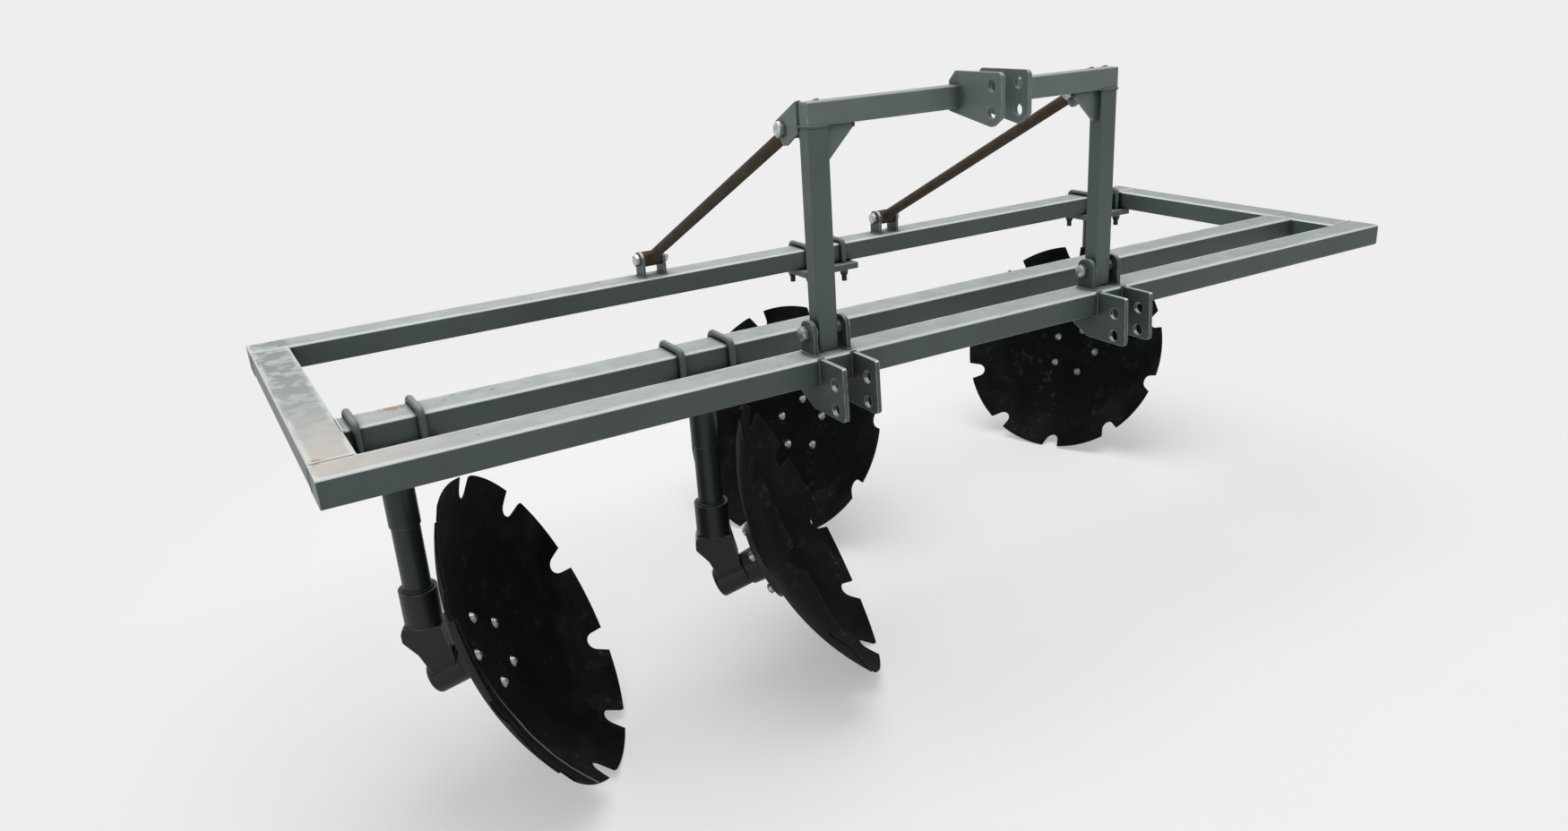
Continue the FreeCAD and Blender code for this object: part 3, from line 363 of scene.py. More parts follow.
def flaked_patches(tree, place, colour):
    """Map-like patches and dried soil on the left end tube, and specks and rust on the frame."""
    tints = colours()
    parts = add(tree, "ShaderNodeSeparateXYZ", {0: place})
    low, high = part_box("end_tube_left")
    upward = looking_up(tree)
    near_end = ramp(tree, parts.outputs["X"], high.x + 10.0 * MM, high.x - 5.0 * MM)
    rearward = ramp(tree, parts.outputs["Y"], low.y + 120.0 * MM, high.y - 250.0 * MM, 0.12, 1.0)
    # Islands of about 48 mm with sharp shores, more of them towards the rear
    islands = ramp(tree, noise(tree, place, 48.0 * MM, 8.0), 0.49, 0.52)
    flaked = maths(tree, "MULTIPLY", maths(tree, "MULTIPLY", near_end, islands), maths(
        tree, "MULTIPLY", upward, rearward))
    colour = blend(tree, maths(tree, "MULTIPLY", flaked, 0.7), colour, tint("flake"))
    # Dried soil thins out within 320 mm of the front corner
    corner = add(tree, "ShaderNodeVectorMath", {0: place, 1: (low.x, low.y, high.z)},
                 operation="DISTANCE").outputs["Value"]
    soil = maths(tree, "MULTIPLY", ramp(tree, corner, 0.32, 0.06), upward)
    colour = blend(tree, maths(tree, "MULTIPLY", soil, 0.6), colour, tint("pale_soil"))
    colour = specks(tree, place, colour, upward)
    for spot, reach in RUST_SPOTS:
        away = add(tree, "ShaderNodeVectorMath", {0: place, 1: spot}, operation="DISTANCE")
        ragged = maths(tree, "ADD", away.outputs["Value"],
                       ramp(tree, noise(tree, place, 9.0 * MM), 0.3, 0.7, -0.6 * reach, 0.6 * reach))
        colour = blend(tree, ramp(tree, ragged, reach, 0.6 * reach), colour,
                       list(tints.orange_rust))
    return colour


def specks(tree, place, colour, where):
    """Clusters of small chips, a few millimetres over, in the paint of the upper faces."""
    cells = add(tree, "ShaderNodeTexVoronoi", {"Vector": place, "Scale": 1 / (26.0 * MM)})
    chosen = add(tree, "ShaderNodeSeparateColor", {0: cells.outputs["Color"]}).outputs["Red"]
    dots = maths(tree, "MULTIPLY", ramp(tree, cells.outputs["Distance"], 0.24, 0.14),
                 ramp(tree, chosen, 0.5, 0.55))
    clusters = ramp(tree, noise(tree, place, 260.0 * MM, 2.0), 0.56, 0.6)
    share = maths(tree, "MULTIPLY", maths(tree, "MULTIPLY", dots, clusters), where)
    return blend(tree, maths(tree, "MULTIPLY", share, 0.55), colour, tint("speck"))


# The disc with a painted reflection streak: the plane of the streak beside its axle, and the way it
# runs
STREAKED_DISC = 1
STREAK_NORMAL = (-0.545, -0.764, 0.344)
STREAK_ALONG = (0.177, -0.506, -0.844)


def painted_reflection_streak(tree, place, away):
    """Mask of a painted reflection: a thin, nearly straight line from the bolts to the rim."""
    beside = add(tree, "ShaderNodeVectorMath", {0: away, 1: STREAK_NORMAL}, operation="DOT_PRODUCT")
    along = add(tree, "ShaderNodeVectorMath", {0: away, 1: STREAK_ALONG}, operation="DOT_PRODUCT")
    wavy = maths(tree, "ADD", beside.outputs["Value"], ramp(
        tree, noise(tree, place, 110.0 * MM, 3.0), 0.3, 0.7, -7.0 * MM, 7.0 * MM))
    line = maths(tree, "MULTIPLY", ramp(tree, wavy, 99.0 * MM, 103.0 * MM),
                 ramp(tree, wavy, 113.0 * MM, 109.0 * MM))
    return maths(tree, "MULTIPLY", line, ramp(tree, along.outputs["Value"], 20.0 * MM, 180.0 * MM))


def scuffs(tree, place):
    """Mask of ragged smudges, in clusters, where stones have knocked the dish."""
    smudges = ramp(tree, noise(tree, place, 26.0 * MM, 6.0, 0.65), 0.56, 0.74)
    clusters = ramp(tree, noise(tree, place, 150.0 * MM, 2.0), 0.48, 0.62)
    return maths(tree, "MULTIPLY", smudges, clusters)


def disc_enamel(name, number):
    """Black stoving enamel on pressed boron steel: near black and matt, dustier outside a ragged
    line round the dish, spotted with dried soil, scuffed, rubbed along its edges, and on one disc
    marked with a painted reflection streak."""
    material, tree, shader, place = new_material(name)
    tints = colours()
    joint = AXLES["disc_%d_turning" % number]
    away = add(tree, "ShaderNodeVectorMath", {0: place, 1: joint["pos_m"]}, operation="SUBTRACT")
    turned = add(tree, "ShaderNodeVectorMath", {
        0: away.outputs["Vector"], 1: joint["axis"]}, operation="CROSS_PRODUCT")
    radius = add(tree, "ShaderNodeVectorMath", {0: turned.outputs["Vector"]},
                 operation="LENGTH").outputs["Value"]
    # The line where the dust begins lies about 260 mm from the axle and strays by 28 mm
    radius = maths(tree, "ADD", radius, ramp(
        tree, noise(tree, place, 160.0 * MM, 5.0), 0.25, 0.75, -28.0 * MM, 28.0 * MM))
    smears = ramp(tree, noise(tree, place, 150.0 * MM, 6.0, 0.6), 0.4, 0.72)
    dusty = maths(tree, "MULTIPLY", ramp(tree, radius, 252.0 * MM, 268.0 * MM, 0.25, 1.0), smears)
    colour = blend(tree, maths(tree, "MULTIPLY", dusty, 0.75), list(tints.disc_enamel),
                   tint("dust_on_black"))
    if number == STREAKED_DISC:
        # The painted reflection streak is on the hollow side, which looks along the axle
        flat = add(tree, "ShaderNodeNewGeometry")
        hollow = add(tree, "ShaderNodeVectorMath", {
            0: flat.outputs["Normal"], 1: joint["axis"]}, operation="DOT_PRODUCT")
        streak = maths(tree, "MULTIPLY", painted_reflection_streak(tree, place, away.outputs["Vector"]),
                     ramp(tree, hollow.outputs["Value"], 0.0, 0.1))
        colour = blend(tree, streak, colour, tint("painted_reflection_streak"))
    soil = ramp(tree, noise(tree, place, 60.0 * MM, 7.0, 0.66), 0.6, 0.72)
    colour = blend(tree, maths(tree, "MULTIPLY", soil, 0.4), colour, tint("soil_on_black"))
    colour = blend(tree, maths(tree, "MULTIPLY", scuffs(tree, place), 0.35), colour, tint("scuff"))
    edges = maths(tree, "MULTIPLY", rubbed(tree, place, 2.0 * MM), 0.3)
    colour = blend(tree, edges, colour, tint("disc_edge"))
    tree.links.new(colour, shader.inputs["Base Color"])
    tree.links.new(ramp(tree, dusty, 0.0, 1.0, 0.6, 0.85), shader.inputs["Roughness"])
    shader.inputs["Specular IOR Level"].default_value = 0.03
    return material


def rusted_bar(name):
    """Hot-rolled round bar left bare: brown, dull and finely pitted all over."""
    material, tree, shader, place = new_material(name)
    tints = colours()
    # Older rust in clouds of 45 mm, under a grain of 4 mm
    cloud = ramp(tree, noise(tree, place, 45.0 * MM, 6.0, 0.7), 0.35, 0.68)
    colour = blend(tree, cloud, list(tints.brown_rust), tint("dark_rust"))
    grain = ramp(tree, noise(tree, place, 4.0 * MM, 3.0), 0.55, 0.7)
    colour = blend(tree, maths(tree, "MULTIPLY", grain, 0.45), colour, tint("rust_grain"))
    tree.links.new(colour, shader.inputs["Base Color"])
    shader.inputs["Roughness"].default_value = 0.72
    shader.inputs["Specular IOR Level"].default_value = 0.2
    relief(tree, shader, noise(tree, place, 2.5 * MM, 4.0), 0.6 * MM, 0.5)
    return material


def zinc_plate(name, soiled=0.0):
    """Zinc-plated steel: bright and slightly clouded, darker where grease holds dirt, and darker
    with painted shade in the corners round the heads."""
    material, tree, shader, place = new_material(name)
    tints = colours()
    # Dull clouds of about 10 mm
    cloud = ramp(tree, noise(tree, place, 10.0 * MM, 4.0), 0.4, 0.68)
    colour = blend(tree, maths(tree, "MULTIPLY", cloud, 0.6), list(tints.zinc), tint("zinc_cloud"))
    colour = blend(tree, soiled, colour, tint("greasy_soil"))
    # Painted shade in the corners round the heads
    colour = blend(tree, maths(tree, "MULTIPLY", painted_crevice_shade(tree, 9.0 * MM), 0.8), colour,
                   list(tints.crevice_shade))
    tree.links.new(colour, shader.inputs["Base Color"])
    shader.inputs["Metallic"].default_value = 1.0
    tree.links.new(ramp(tree, cloud, 0.0, 1.0, 0.28, 0.5), shader.inputs["Roughness"])
    relief(tree, shader, noise(tree, place, 1.5 * MM, 3.0), 0.15 * MM, 0.3)
    return material


def black_oxide(name):
    """Washers, lock collars and threads blackened in hot oxide and oiled: dark, with worn edges."""
    material, tree, shader, place = new_material(name)
    worn = rubbed(tree, place, 1.0 * MM, 6.0 * MM)
    colour = blend(tree, maths(tree, "MULTIPLY", worn, 0.3), tint("oxide"), tint("oxide_crest"))
    tree.links.new(colour, shader.inputs["Base Color"])
    shader.inputs["Roughness"].default_value = 0.45
    shader.inputs["Specular IOR Level"].default_value = 0.3
    return material


# How far from another face painted shade reaches on open pieces, at the mast's top and between hitch
# plates
NEAR, WIDE, WIDEST = 32.0 * MM, 60.0 * MM, 85.0 * MM
# Enamels: paint, shares that are chalked with painted sheen on top, rubbed at edges and painted
# with a highlight at the tops' corners, and the reach of their painted shade
ENAMELS = {
    "frame_enamel": ("frame_paint", 1.0, 0.8, 0.75, NEAR),
    "mast_enamel": ("mast_paint", 0.85, 0.7, 0.5, NEAR),
    "upper_enamel": ("upper_paint", 0.4, 0.5, 0.15, WIDE),
    "hitch_enamel": ("frame_paint", 1.0, 0.9, 0.9, WIDEST),
    # The lugs' darker paint is painted shade
    "lug_enamel": ("shaded_lug_paint", 0.4, 0.5, 0.0, NEAR),
    "clamp_enamel": ("mast_paint", 0.4, 0.5, 0.0, NEAR),
    "weld_enamel": ("mast_paint", 0.7, 0.0, 0.0, NEAR),
    "shank_enamel": ("shank_paint", 0.18, 0.3, 0.0, NEAR),
    # The knees' darker paint is painted shade
    "knee_enamel": ("shaded_gang_paint", 0.12, 0.3, 0.0, NEAR),
}
# Share of greasy soil on the disc bolts
SOILED = 0.45
METALS = {
    "rusted_bar": rusted_bar,
    "zinc_plate": zinc_plate,
    "soiled_zinc": lambda name: zinc_plate(name, SOILED),
    "black_oxide": black_oxide,
}
DISC_ENAMELS = {"disc_enamel_%d" % number: number for number in GANGS}


def finish(name):
    """The material of that name, made when it is first asked for."""
    made = bpy.data.materials.get(name)
    if made:
        return made
    if name in ENAMELS:
        return machine_enamel(name, *ENAMELS[name])
    if name in METALS:
        return METALS[name](name)
    return disc_enamel(name, DISC_ENAMELS[name])


def coat(nodes, name):
    """Gives solid pieces a finish in every material slot."""
    if not nodes:
        raise RuntimeError("nothing to coat with " + name)
    for node in nodes:
        for slot in NODES[node].material_slots:
            slot.material = finish(name)


# Mesh tools

def new_piece(name, bm, material, body="root"):
    """Turns a bmesh into a piece that rides on a body."""
    if not bm.faces:
        raise RuntimeError(name + " has no faces")
    bmesh.ops.recalc_face_normals(bm, faces=bm.faces)
    mesh = bpy.data.meshes.new(name)
    bm.to_mesh(mesh)
    bm.free()
    mesh.shade_smooth()
    mesh.materials.append(finish(material))
    piece = bpy.data.objects.new(name, mesh)
    bpy.context.scene.collection.objects.link(piece)
    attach(piece, body)


def rims(node, wanted):
    """Closed edges, longest first, of the node's faces whose centre and normal are wanted."""
    bm = bmesh.new()
    bm.from_mesh(NODES[node].data)
    bmesh.ops.remove_doubles(bm, verts=bm.verts, dist=0.01 * MM)
    chosen = {face for face in bm.faces if wanted(face.calc_center_median(), face.normal)}
    links = {}
    for edge in bm.edges:
        if sum(face in chosen for face in edge.link_faces) == 1:
            first, second = edge.verts
            links.setdefault(first, []).append(second)
            links.setdefault(second, []).append(first)
    found, seen = [], set()
    for start in sorted(links, key=lambda vert: vert.index):
        if start in seen:
            continue
        chain, here = [], start
        while here is not None:
            seen.add(here)
            chain.append(here.co.copy())
            here = next((vert for vert in links[here] if vert not in seen), None)
        found.append(chain)
    bm.free()
    return sorted(found, key=girth, reverse=True)


def girth(chain):
    """Length round a closed chain of points."""
    return sum((chain[index] - chain[index - 1]).length for index in range(len(chain)))


def centre(chain):
    """Middle of a chain's box."""
    low = Vector(min(point[axis] for point in chain) for axis in range(3))
    high = Vector(max(point[axis] for point in chain) for axis in range(3))
    return (low + high) / 2


# A face looks along an axis if its normal's share of it is over this, and lies on a level or on a
# cylinder if it is this near
SQUARE, NEARBY = 0.95, 1.0 * MM


def facing(axis, sign, level=None):
    """Test for faces that look along an axis, at a level of that axis if one is given."""
    def wanted(middle, normal):
        return sign * normal[axis] > SQUARE and (
            level is None or abs(middle[axis] - level) < NEARBY)
    return wanted


def ring(middle, axis, radius, count):
    """Points evenly spaced round an axis."""
    across = axis.orthogonal().normalized()
    other = axis.cross(across)
    turns = [2 * math.pi * step / count for step in range(count)]
    return [middle + radius * (math.cos(t) * across + math.sin(t) * other) for t in turns]


# Radii of the beads on the mast's thin plates and at the ends of the shanks, in metres
FINE_BEAD, SHANK_BEAD = 3.0 * MM, 4.5 * MM
# A bead's cross-section: its sides, its least swell, the ripple on that, and how much both wander
BEAD_SIDES, BEAD_LOW, BEAD_RISE, BEAD_WANDER = 8, 0.78, 0.22, 0.06


def bead(bm, chain, draws, radius=None):
    """A rippled weld bead along a closed chain of points."""
    radius = radius or lengths().bead
    step = lengths().ripple / 3
    points = []
    for index, point in enumerate(chain):
        after = chain[(index + 1) % len(chain)]
        count = max(1, round((after - point).length / step))
        points += [point.lerp(after, part / count) for part in range(count)]
    rounds = []
    for index, point in enumerate(points):
        along = (points[(index + 1) % len(points)] - points[index - 1]).normalized()
        across = along.orthogonal().normalized()
        swell = BEAD_LOW + BEAD_RISE * (index % 3) / 2 + draws.uniform(-BEAD_WANDER, BEAD_WANDER)
        middle = point + draws.uniform(-BEAD_WANDER, BEAD_WANDER) * radius * across
        places = ring(middle, along, radius * swell, BEAD_SIDES)
        rounds.append([bm.verts.new(place) for place in places])
    for index, here in enumerate(rounds):
        join_rings(bm, rounds[index - 1], here)


def join_rings(bm, first, second):
    """Faces between two rings of vertices, with the second turned to lie nearest the first."""
    count = len(first)
    shift = min(range(count), key=lambda s: (first[0].co - second[s].co).length)
    for side in range(count):
        near, far = (side + shift) % count, (side + 1 + shift) % count
        bm.faces.new((first[side], first[(side + 1) % count], second[far], second[near]))


def lathe(bm, middle, axis, profile, segments):
    """Turns a profile of (radius, height) about an axis; radius 0 closes it."""
    rounds = []
    for radius, height in profile:
        level = middle + height * axis
        places = ring(level, axis, radius, segments) if radius else [level]
        rounds.append([bm.verts.new(place) for place in places])
    for first, second in zip(rounds, rounds[1:]):
        for side in range(segments):
            after = (side + 1) % segments
            corners = [first[side % len(first)], first[after % len(first)],
                       second[after % len(second)], second[side % len(second)]]
            kept = [c for index, c in enumerate(corners) if c not in corners[:index]]
            bm.faces.new(kept)


def washer(bm, middle, axis, inner, outer):
    """A plain washer with softened edges, standing on a face."""
    thick, soft = lengths().washer, 0.4 * MM
    lathe(bm, middle, axis, [
        (inner, 0.0), (outer - soft, 0.0), (outer, soft), (outer, thick - soft),
        (outer - soft, thick), (inner, thick), (inner, 0.0)], 28)


def thread(bm, middle, axis, radius, length):
    """Thread ridges over a round bar, from its end inwards."""
    pitch, turns = lengths().thread, int(length / lengths().thread)
    root, crest = radius + 0.05 * MM, radius + 0.5 * MM
    profile = []
    for turn in range(turns):
        profile += [(root, turn * pitch), (crest, (turn + 0.5) * pitch)]
    profile.append((root, turns * pitch))
    lathe(bm, middle, axis, profile, 16)


# Stage

# Where the photograph was taken from, how the camera was turned, and its lens in millimetres
CAMERA_PLACE = Vector((-1.6613, -2.5529, 1.6053))
CAMERA_RIGHT = Vector((0.8572, -0.5118, -0.0567))
CAMERA_UP = Vector((0.2275, 0.2777, 0.9333))
CAMERA_LENS = 25.96
# How far the picture is shifted, and its width, in pixels
SHIFTED, PHOTO_WIDTH = -15.9, 1750
# The floor's radius, in metres
FLOOR_REACH = 300.0
# Distances from the machine between which the floor fades into the backdrop
FLOOR_FADE = (1.7, 3.0)
# Share of the backdrop's own light in the floor under the machine, which keeps its shadow soft
FLOOR_GLOW = 0.4
# Light of the room on the machine, and the lamps: name, place, size and power
ROOM_LIGHT = 0.62
LIGHTS = [("overhead", (0.2, 0.6, 5.2), 5.5, 175.0), ("front", (-4.2, -4.6, 3.0), 4.0, 35.0)]


def seen_rays(tree):
    """Mask of what is seen straight, in gloss or through glass."""
    ray = add(tree, "ShaderNodeLightPath")
    return maths(tree, "MAXIMUM", ray.outputs["Is Camera Ray"], maths(
        tree, "MAXIMUM", ray.outputs["Is Glossy Ray"], ray.outputs["Is Transmission Ray"]))


class RIDGER_OT_stage(bpy.types.Operator):
    """Floor, backdrop, soft light and the camera at the photograph's angle"""

    bl_idname = "ridger.stage"
    bl_label = "Stage"

    def execute(self, context):
        self.floor()
        self.world(context)
        self.lights(context)
        self.camera(context)
        context.scene.view_settings.view_transform = "Standard"
        return {"FINISHED"}

    def floor(self):
        """Pale matt floor, which fades into the backdrop away from the machine."""
        bm = bmesh.new()
        bmesh.ops.create_circle(bm, cap_ends=True, radius=FLOOR_REACH, segments=64)
        mesh = bpy.data.meshes.new("floor")
        bm.to_mesh(mesh)
        bm.free()
        floor = bpy.data.objects.new("floor", mesh)
        floor.location.z = CAD_BOX[0].z
        bpy.context.scene.collection.objects.link(floor)
        material, tree, shader, place = new_material("matt_backdrop_card")
        pale = list(colours().backdrop)
        shader.inputs["Base Color"].default_value = pale
        shader.inputs["Roughness"].default_value = 0.9
        shader.inputs["Specular IOR Level"].default_value = 0.0
        glow = add(tree, "ShaderNodeEmission", {"Color": pale, "Strength": 1.0})
        away = add(tree, "ShaderNodeVectorMath", {0: place}, operation="LENGTH").outputs["Value"]
        share = maths(tree, "MULTIPLY", ramp(tree, away, *FLOOR_FADE, FLOOR_GLOW, 1.0),
                      seen_rays(tree))
        mixed = add(tree, "ShaderNodeMixShader", {
            0: share, 1: shader.outputs["BSDF"], 2: glow.outputs["Emission"]})
        output = next(item for item in tree.nodes if item.type == "OUTPUT_MATERIAL")
        tree.links.new(mixed.outputs["Shader"], output.inputs["Surface"])
        mesh.materials.append(material)

    def world(self, context):
        """Even soft light from all round, and the plain backdrop for what the eye sees."""
        world = bpy.data.worlds.new("soft_room")
        world.use_nodes = True
        tree = world.node_tree
        tree.nodes.clear()
        pale = list(colours().backdrop)
        light = add(tree, "ShaderNodeBackground", {
            "Color": (1.0, 1.0, 1.0, 1.0), "Strength": ROOM_LIGHT})
        seen = add(tree, "ShaderNodeBackground", {"Color": pale, "Strength": 1.0})
        mixed = add(tree, "ShaderNodeMixShader", {
            0: seen_rays(tree), 1: light.outputs["Background"], 2: seen.outputs["Background"]})
        add(tree, "ShaderNodeOutputWorld", {"Surface": mixed.outputs["Shader"]})
        context.scene.world = world

    def lights(self, context):
        """Round soft lamps, aimed at the middle of the machine."""
        middle = (CAD_BOX[0] + CAD_BOX[1]) / 2
        for name, place, size, power in LIGHTS:
            lamp = bpy.data.lights.new(name, "AREA")
            lamp.shape = "DISK"
            lamp.size = size
            lamp.energy = power
            item = bpy.data.objects.new(name, lamp)
            item.location = place
            item.rotation_mode = "QUATERNION"
            item.rotation_quaternion = (middle - Vector(place)).to_track_quat("-Z", "Y")
            context.scene.collection.objects.link(item)

    def camera(self, context):
        """The camera at the photograph's place, turned and framed as there."""
        lens = bpy.data.cameras.new("camera")
        lens.sensor_width = 36.0
        lens.lens = CAMERA_LENS
        lens.shift_x = SHIFTED / PHOTO_WIDTH
        camera = bpy.data.objects.new("camera", lens)
        right, up = CAMERA_RIGHT.normalized(), CAMERA_UP.normalized()
        turned = Matrix((right, up, right.cross(up))).transposed()
        camera.matrix_world = Matrix.Translation(CAMERA_PLACE) @ turned.to_4x4()
        context.scene.collection.objects.link(camera)
        context.scene.camera = camera


# Finishes of the solid pieces

class RIDGER_OT_paint(bpy.types.Operator):
    """Enamel, rust and plating on all the solid pieces"""

    bl_idname = "ridger.paint"
    bl_label = "Paint and metal"

    def execute(self, context):
        coat(FRAME_NODES, "frame_enamel")
        coat(PAINTED_NODES, "mast_enamel")
        coat(LUG_NODES, "lug_enamel")
        coat(UPPER_NODES, "upper_enamel")
        coat(HITCH_NODES, "hitch_enamel")
        coat(CLAMP_NODES, "clamp_enamel")
        coat(SHANK_NODES, "shank_enamel")
        coat(KNEE_NODES, "knee_enamel")
        for number in GANGS:
            coat(["disc_%d" % number], "disc_enamel_%d" % number)
        coat(STAY_NODES, "rusted_bar")
        coat(ZINC_NODES, "zinc_plate")
        coat(SOILED_NODES, "soiled_zinc")
        return {"FINISHED"}


# Welds

# Share of a bead's radius by which a ground seam is sunk
GROUND_SHARE = 0.6
# The saddle's faces look at the housing's axis at least this squarely
SADDLE_SQUARE = 0.9


class RIDGER_OT_frame_welds(bpy.types.Operator):
    """Beads where the tubes of the frame butt together"""

    bl_idname = "ridger.frame_welds"
    bl_label = "Frame welds"

    def execute(self, context):
        bm, draws = bmesh.new(), random.Random(11)
        for node, axis in (("end_tube_left", 1), ("end_tube_right", 1), ("middle_beam", 0)):
            for sign in (-1, 1):
                bead(bm, self.ground(rims(node, facing(axis, sign))[0]), draws)
        new_piece("frame_welds", bm, "frame_enamel")
        return {"FINISHED"}

    def ground(self, chain):
        """The seam's line, sunk so that its bead stands low, as one that was ground."""
        middle, sunk = centre(chain), GROUND_SHARE * lengths().bead
        return [point + sunk * (middle - point).normalized() for point in chain]


class RIDGER_OT_hitch_welds(bpy.types.Operator):
    """Beads round the hitch plates and the mast's feet"""

    bl_idname = "ridger.hitch_welds"
    bl_label = "Hitch welds"

    def execute(self, context):
        bm, draws = bmesh.new(), random.Random(12)
        low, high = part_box("front_beam")
        for node in sorted(NODES):
            if node.startswith("lower_hitch_plate"):
                bead(bm, rims(node, facing(1, 1, low.y))[0], draws)
                bead(bm, rims(node, facing(2, 1, low.z))[0], draws)
            elif node.startswith(("mast_foot_lugs", "stay_rear_lugs")):
                for chain in rims(node, facing(2, -1, high.z)):
                    bead(bm, chain, draws)
        new_piece("hitch_welds", bm, "weld_enamel")
        return {"FINISHED"}


class RIDGER_OT_mast_welds(bpy.types.Operator):
    """Beads at the mast's corners, its gussets, hitch plates and upper lugs"""

    bl_idname = "ridger.mast_welds"
    bl_label = "Mast welds"

    def execute(self, context):
        bm, draws = bmesh.new(), random.Random(13)
        low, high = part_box("mast_crossbar")
        for side in ("left", "right"):
            bead(bm, rims("mast_upright_" + side, facing(2, 1))[0], draws)
            for chain in rims("top_hitch_plate_" + side, facing(1, 1, low.y)):
                bead(bm, chain, draws, FINE_BEAD)
            for chain in rims("stay_top_lugs_" + side, facing(1, -1, high.y)):
                bead(bm, chain, draws, FINE_BEAD)
        for axis, sign in ((0, -1), (0, 1), (2, 1)):
            for chain in rims("mast_gussets", facing(axis, sign)):
                bead(bm, chain, draws, FINE_BEAD)
        new_piece("mast_welds", bm, "weld_enamel")
        return {"FINISHED"}


class RIDGER_OT_gang_welds(bpy.types.Operator):
    """Beads at the shanks' ends, the sockets and the bearing housings"""

    bl_idname = "ridger.gang_welds"
    bl_label = "Gang welds"

    def execute(self, context):
        bm, draws = bmesh.new(), random.Random(14)
        for number in GANGS:
            knee, shank = "knee_%d" % number, "shank_%d" % number
            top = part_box(knee)[1].z
            bead(bm, rims(knee, facing(2, 1, top))[-1], draws, SHANK_BEAD)
            bead(bm, rims(shank, facing(2, 1))[0], draws, SHANK_BEAD)
            bead(bm, self.saddle(number), draws)
        new_piece("gang_welds", bm, "knee_enamel")
        return {"FINISHED"}

    def saddle(self, number):
        """Seam where the knee sits on its round bearing housing."""
        joint = AXLES["disc_%d_turning" % number]
        place, axis = Vector(joint["pos_m"]), Vector(joint["axis"]).normalized()
        mesh = NODES["bearing_housing_%d" % number].data
        reach = max(self.from_axis(vert.co, place, axis) for vert in mesh.vertices)

        def wanted(middle, normal):
            out = middle - place - (middle - place).dot(axis) * axis
            near = abs(out.length - reach) < NEARBY
            return near and normal.dot(out.normalized()) < -SADDLE_SQUARE
        return rims("knee_%d" % number, wanted)[0]

    def from_axis(self, point, place, axis):
        """Distance of a point from an axis."""
        away = point - place
        return (away - away.dot(axis) * axis).length


# Fittings

# A U-bolt's fittings, in radii of its leg: its washer's radius, its nut's height, and its lock
# collar's profile as radii and heights
WASHER_RADIUS, NUT_HEIGHT = 2.05, 1.6
LOCK_COLLAR = [(1.55, 0.0), (1.5, 0.5), (1.15, 1.2), (1.0, 1.2)]


class RIDGER_OT_clamp_fittings(bpy.types.Operator):
    """Washers, lock collars and threads of the U-bolts"""

    bl_idname = "ridger.clamp_fittings"
    bl_label = "Clamp fittings"

    def execute(self, context):
        bm = bmesh.new()
        down, up = Vector((0, 0, -1)), Vector((0, 0, 1))
        for number in GANGS:
            node = "u_bolts_%d" % number
            plate_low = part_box("clamp_plate_%d" % number)[0].z
            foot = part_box(node)[0].z
            for chain in rims(node, facing(2, -1, foot)):
                middle = centre(chain)
                radius = girth(chain) / (2 * math.pi)
                seat = Vector((middle.x, middle.y, plate_low))
                washer(bm, seat, down, radius, WASHER_RADIUS * radius)
                nut = NUT_HEIGHT * radius
                lathe(bm, seat + nut * down, down, [
                    (wide * radius, high * radius) for wide, high in LOCK_COLLAR], 24)
                thread(bm, middle, up, radius, plate_low - foot - nut)
        new_piece("clamp_fittings", bm, "black_oxide")
        return {"FINISHED"}


# Outlines at least this long, in metres, are those of heads and nuts, and shorter ones of shanks
HEAD_OUTLINE = 90.0 * MM
# A head's crown: shares of half its width across flats, and heights over its face in millimetres
CROWN = [(0.99, -1.5), (0.98, 0.6), (0.9, 1.2), (0.0, 1.3)]


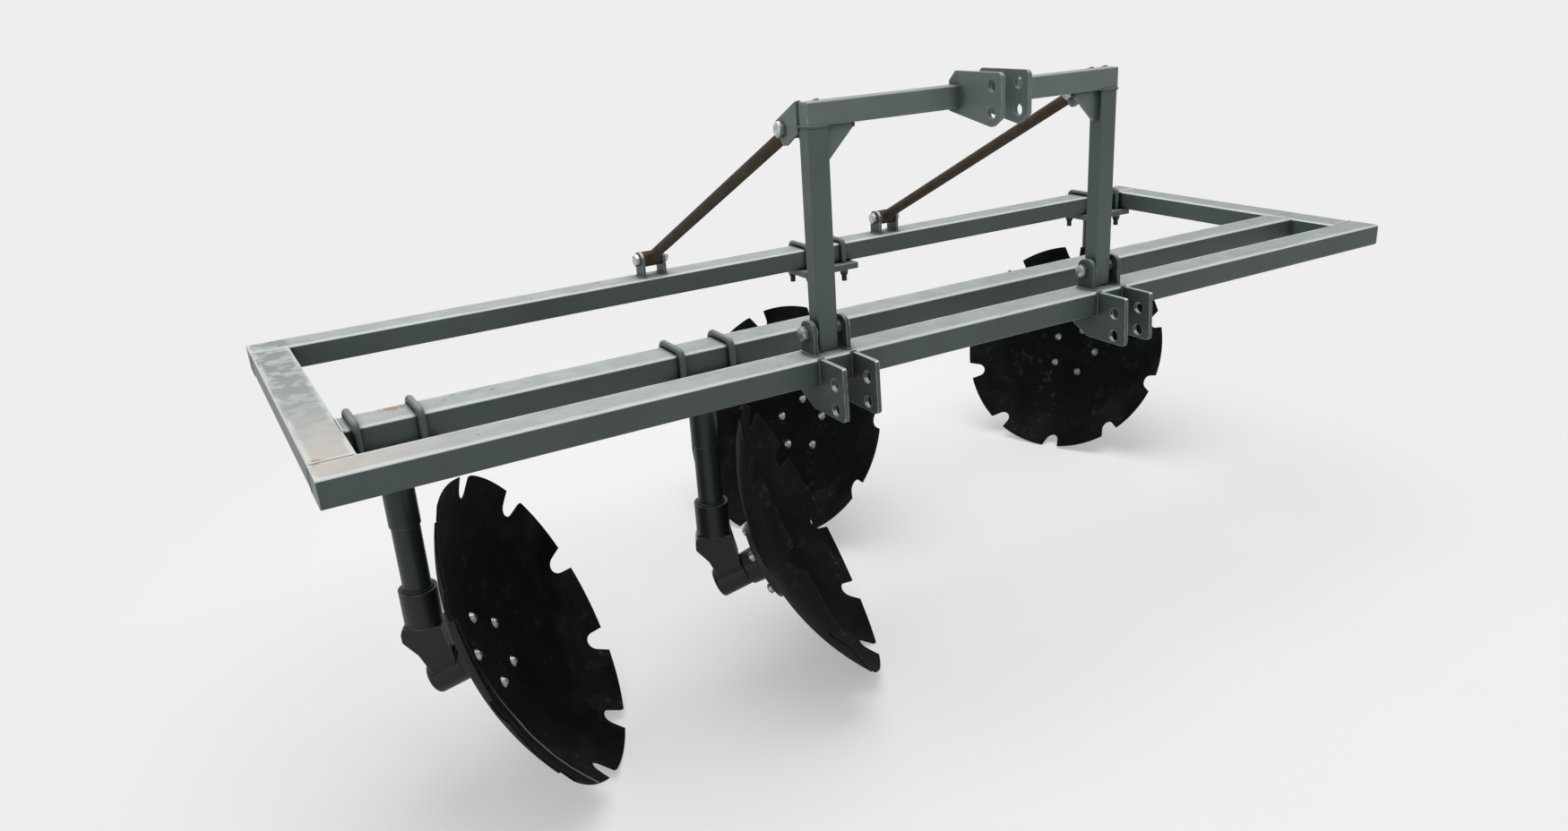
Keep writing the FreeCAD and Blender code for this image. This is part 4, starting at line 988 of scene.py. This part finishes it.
class RIDGER_OT_joint_fittings(bpy.types.Operator):
    """Rounded faces of the bolt heads and nuts at the mast's feet and the stays"""

    bl_idname = "ridger.joint_fittings"
    bl_label = "Joint fittings"

    def execute(self, context):
        bm = bmesh.new()
        for node in ("mast_foot_bolts", "stay_bolts"):
            for sign in (-1, 1):
                for chain in rims(node, facing(0, sign)):
                    if girth(chain) > HEAD_OUTLINE:
                        self.crown(bm, chain, sign)
        new_piece("joint_fittings", bm, "zinc_plate")
        return {"FINISHED"}

    def crown(self, bm, chain, sign):
        """Rounded face of a hexagon head or nut."""
        across = girth(chain) / 6 * math.sqrt(3) / 2
        axis = Vector((sign, 0, 0))
        lathe(bm, centre(chain), axis, [
            (share * across, height * MM) for share, height in CROWN], 24)


class RIDGER_PT_panel(bpy.types.Panel):
    """Lists the steps and sizes of the ridger's finish."""

    bl_idname = "RIDGER_PT_panel"
    bl_label = "Disc ridger"
    bl_space_type = "VIEW_3D"
    bl_region_type = "UI"
    bl_category = "Ridger"

    def draw(self, context):
        for step in STEPS:
            self.layout.operator(step.bl_idname)
        for group in (context.scene.ridger_sizes, context.scene.ridger_colours):
            for name in group.__annotations__:
                self.layout.prop(group, name)


STEPS = [
    RIDGER_OT_stage, RIDGER_OT_paint, RIDGER_OT_frame_welds, RIDGER_OT_hitch_welds,
    RIDGER_OT_mast_welds, RIDGER_OT_gang_welds, RIDGER_OT_clamp_fittings,
    RIDGER_OT_joint_fittings,
]
CLASSES = [RidgerColours, RidgerSizes, *STEPS, RIDGER_PT_panel]


def register():
    for item in CLASSES:
        bpy.utils.register_class(item)
    bpy.types.Scene.ridger_colours = bpy.props.PointerProperty(type=RidgerColours)
    bpy.types.Scene.ridger_sizes = bpy.props.PointerProperty(type=RidgerSizes)


def unregister():
    del bpy.types.Scene.ridger_colours
    del bpy.types.Scene.ridger_sizes
    for item in reversed(CLASSES):
        bpy.utils.unregister_class(item)


def main():
    register()
    for step in STEPS:
        group, name = step.bl_idname.split(".")
        getattr(getattr(bpy.ops, group), name)()


if __name__ == "__main__":
    main()
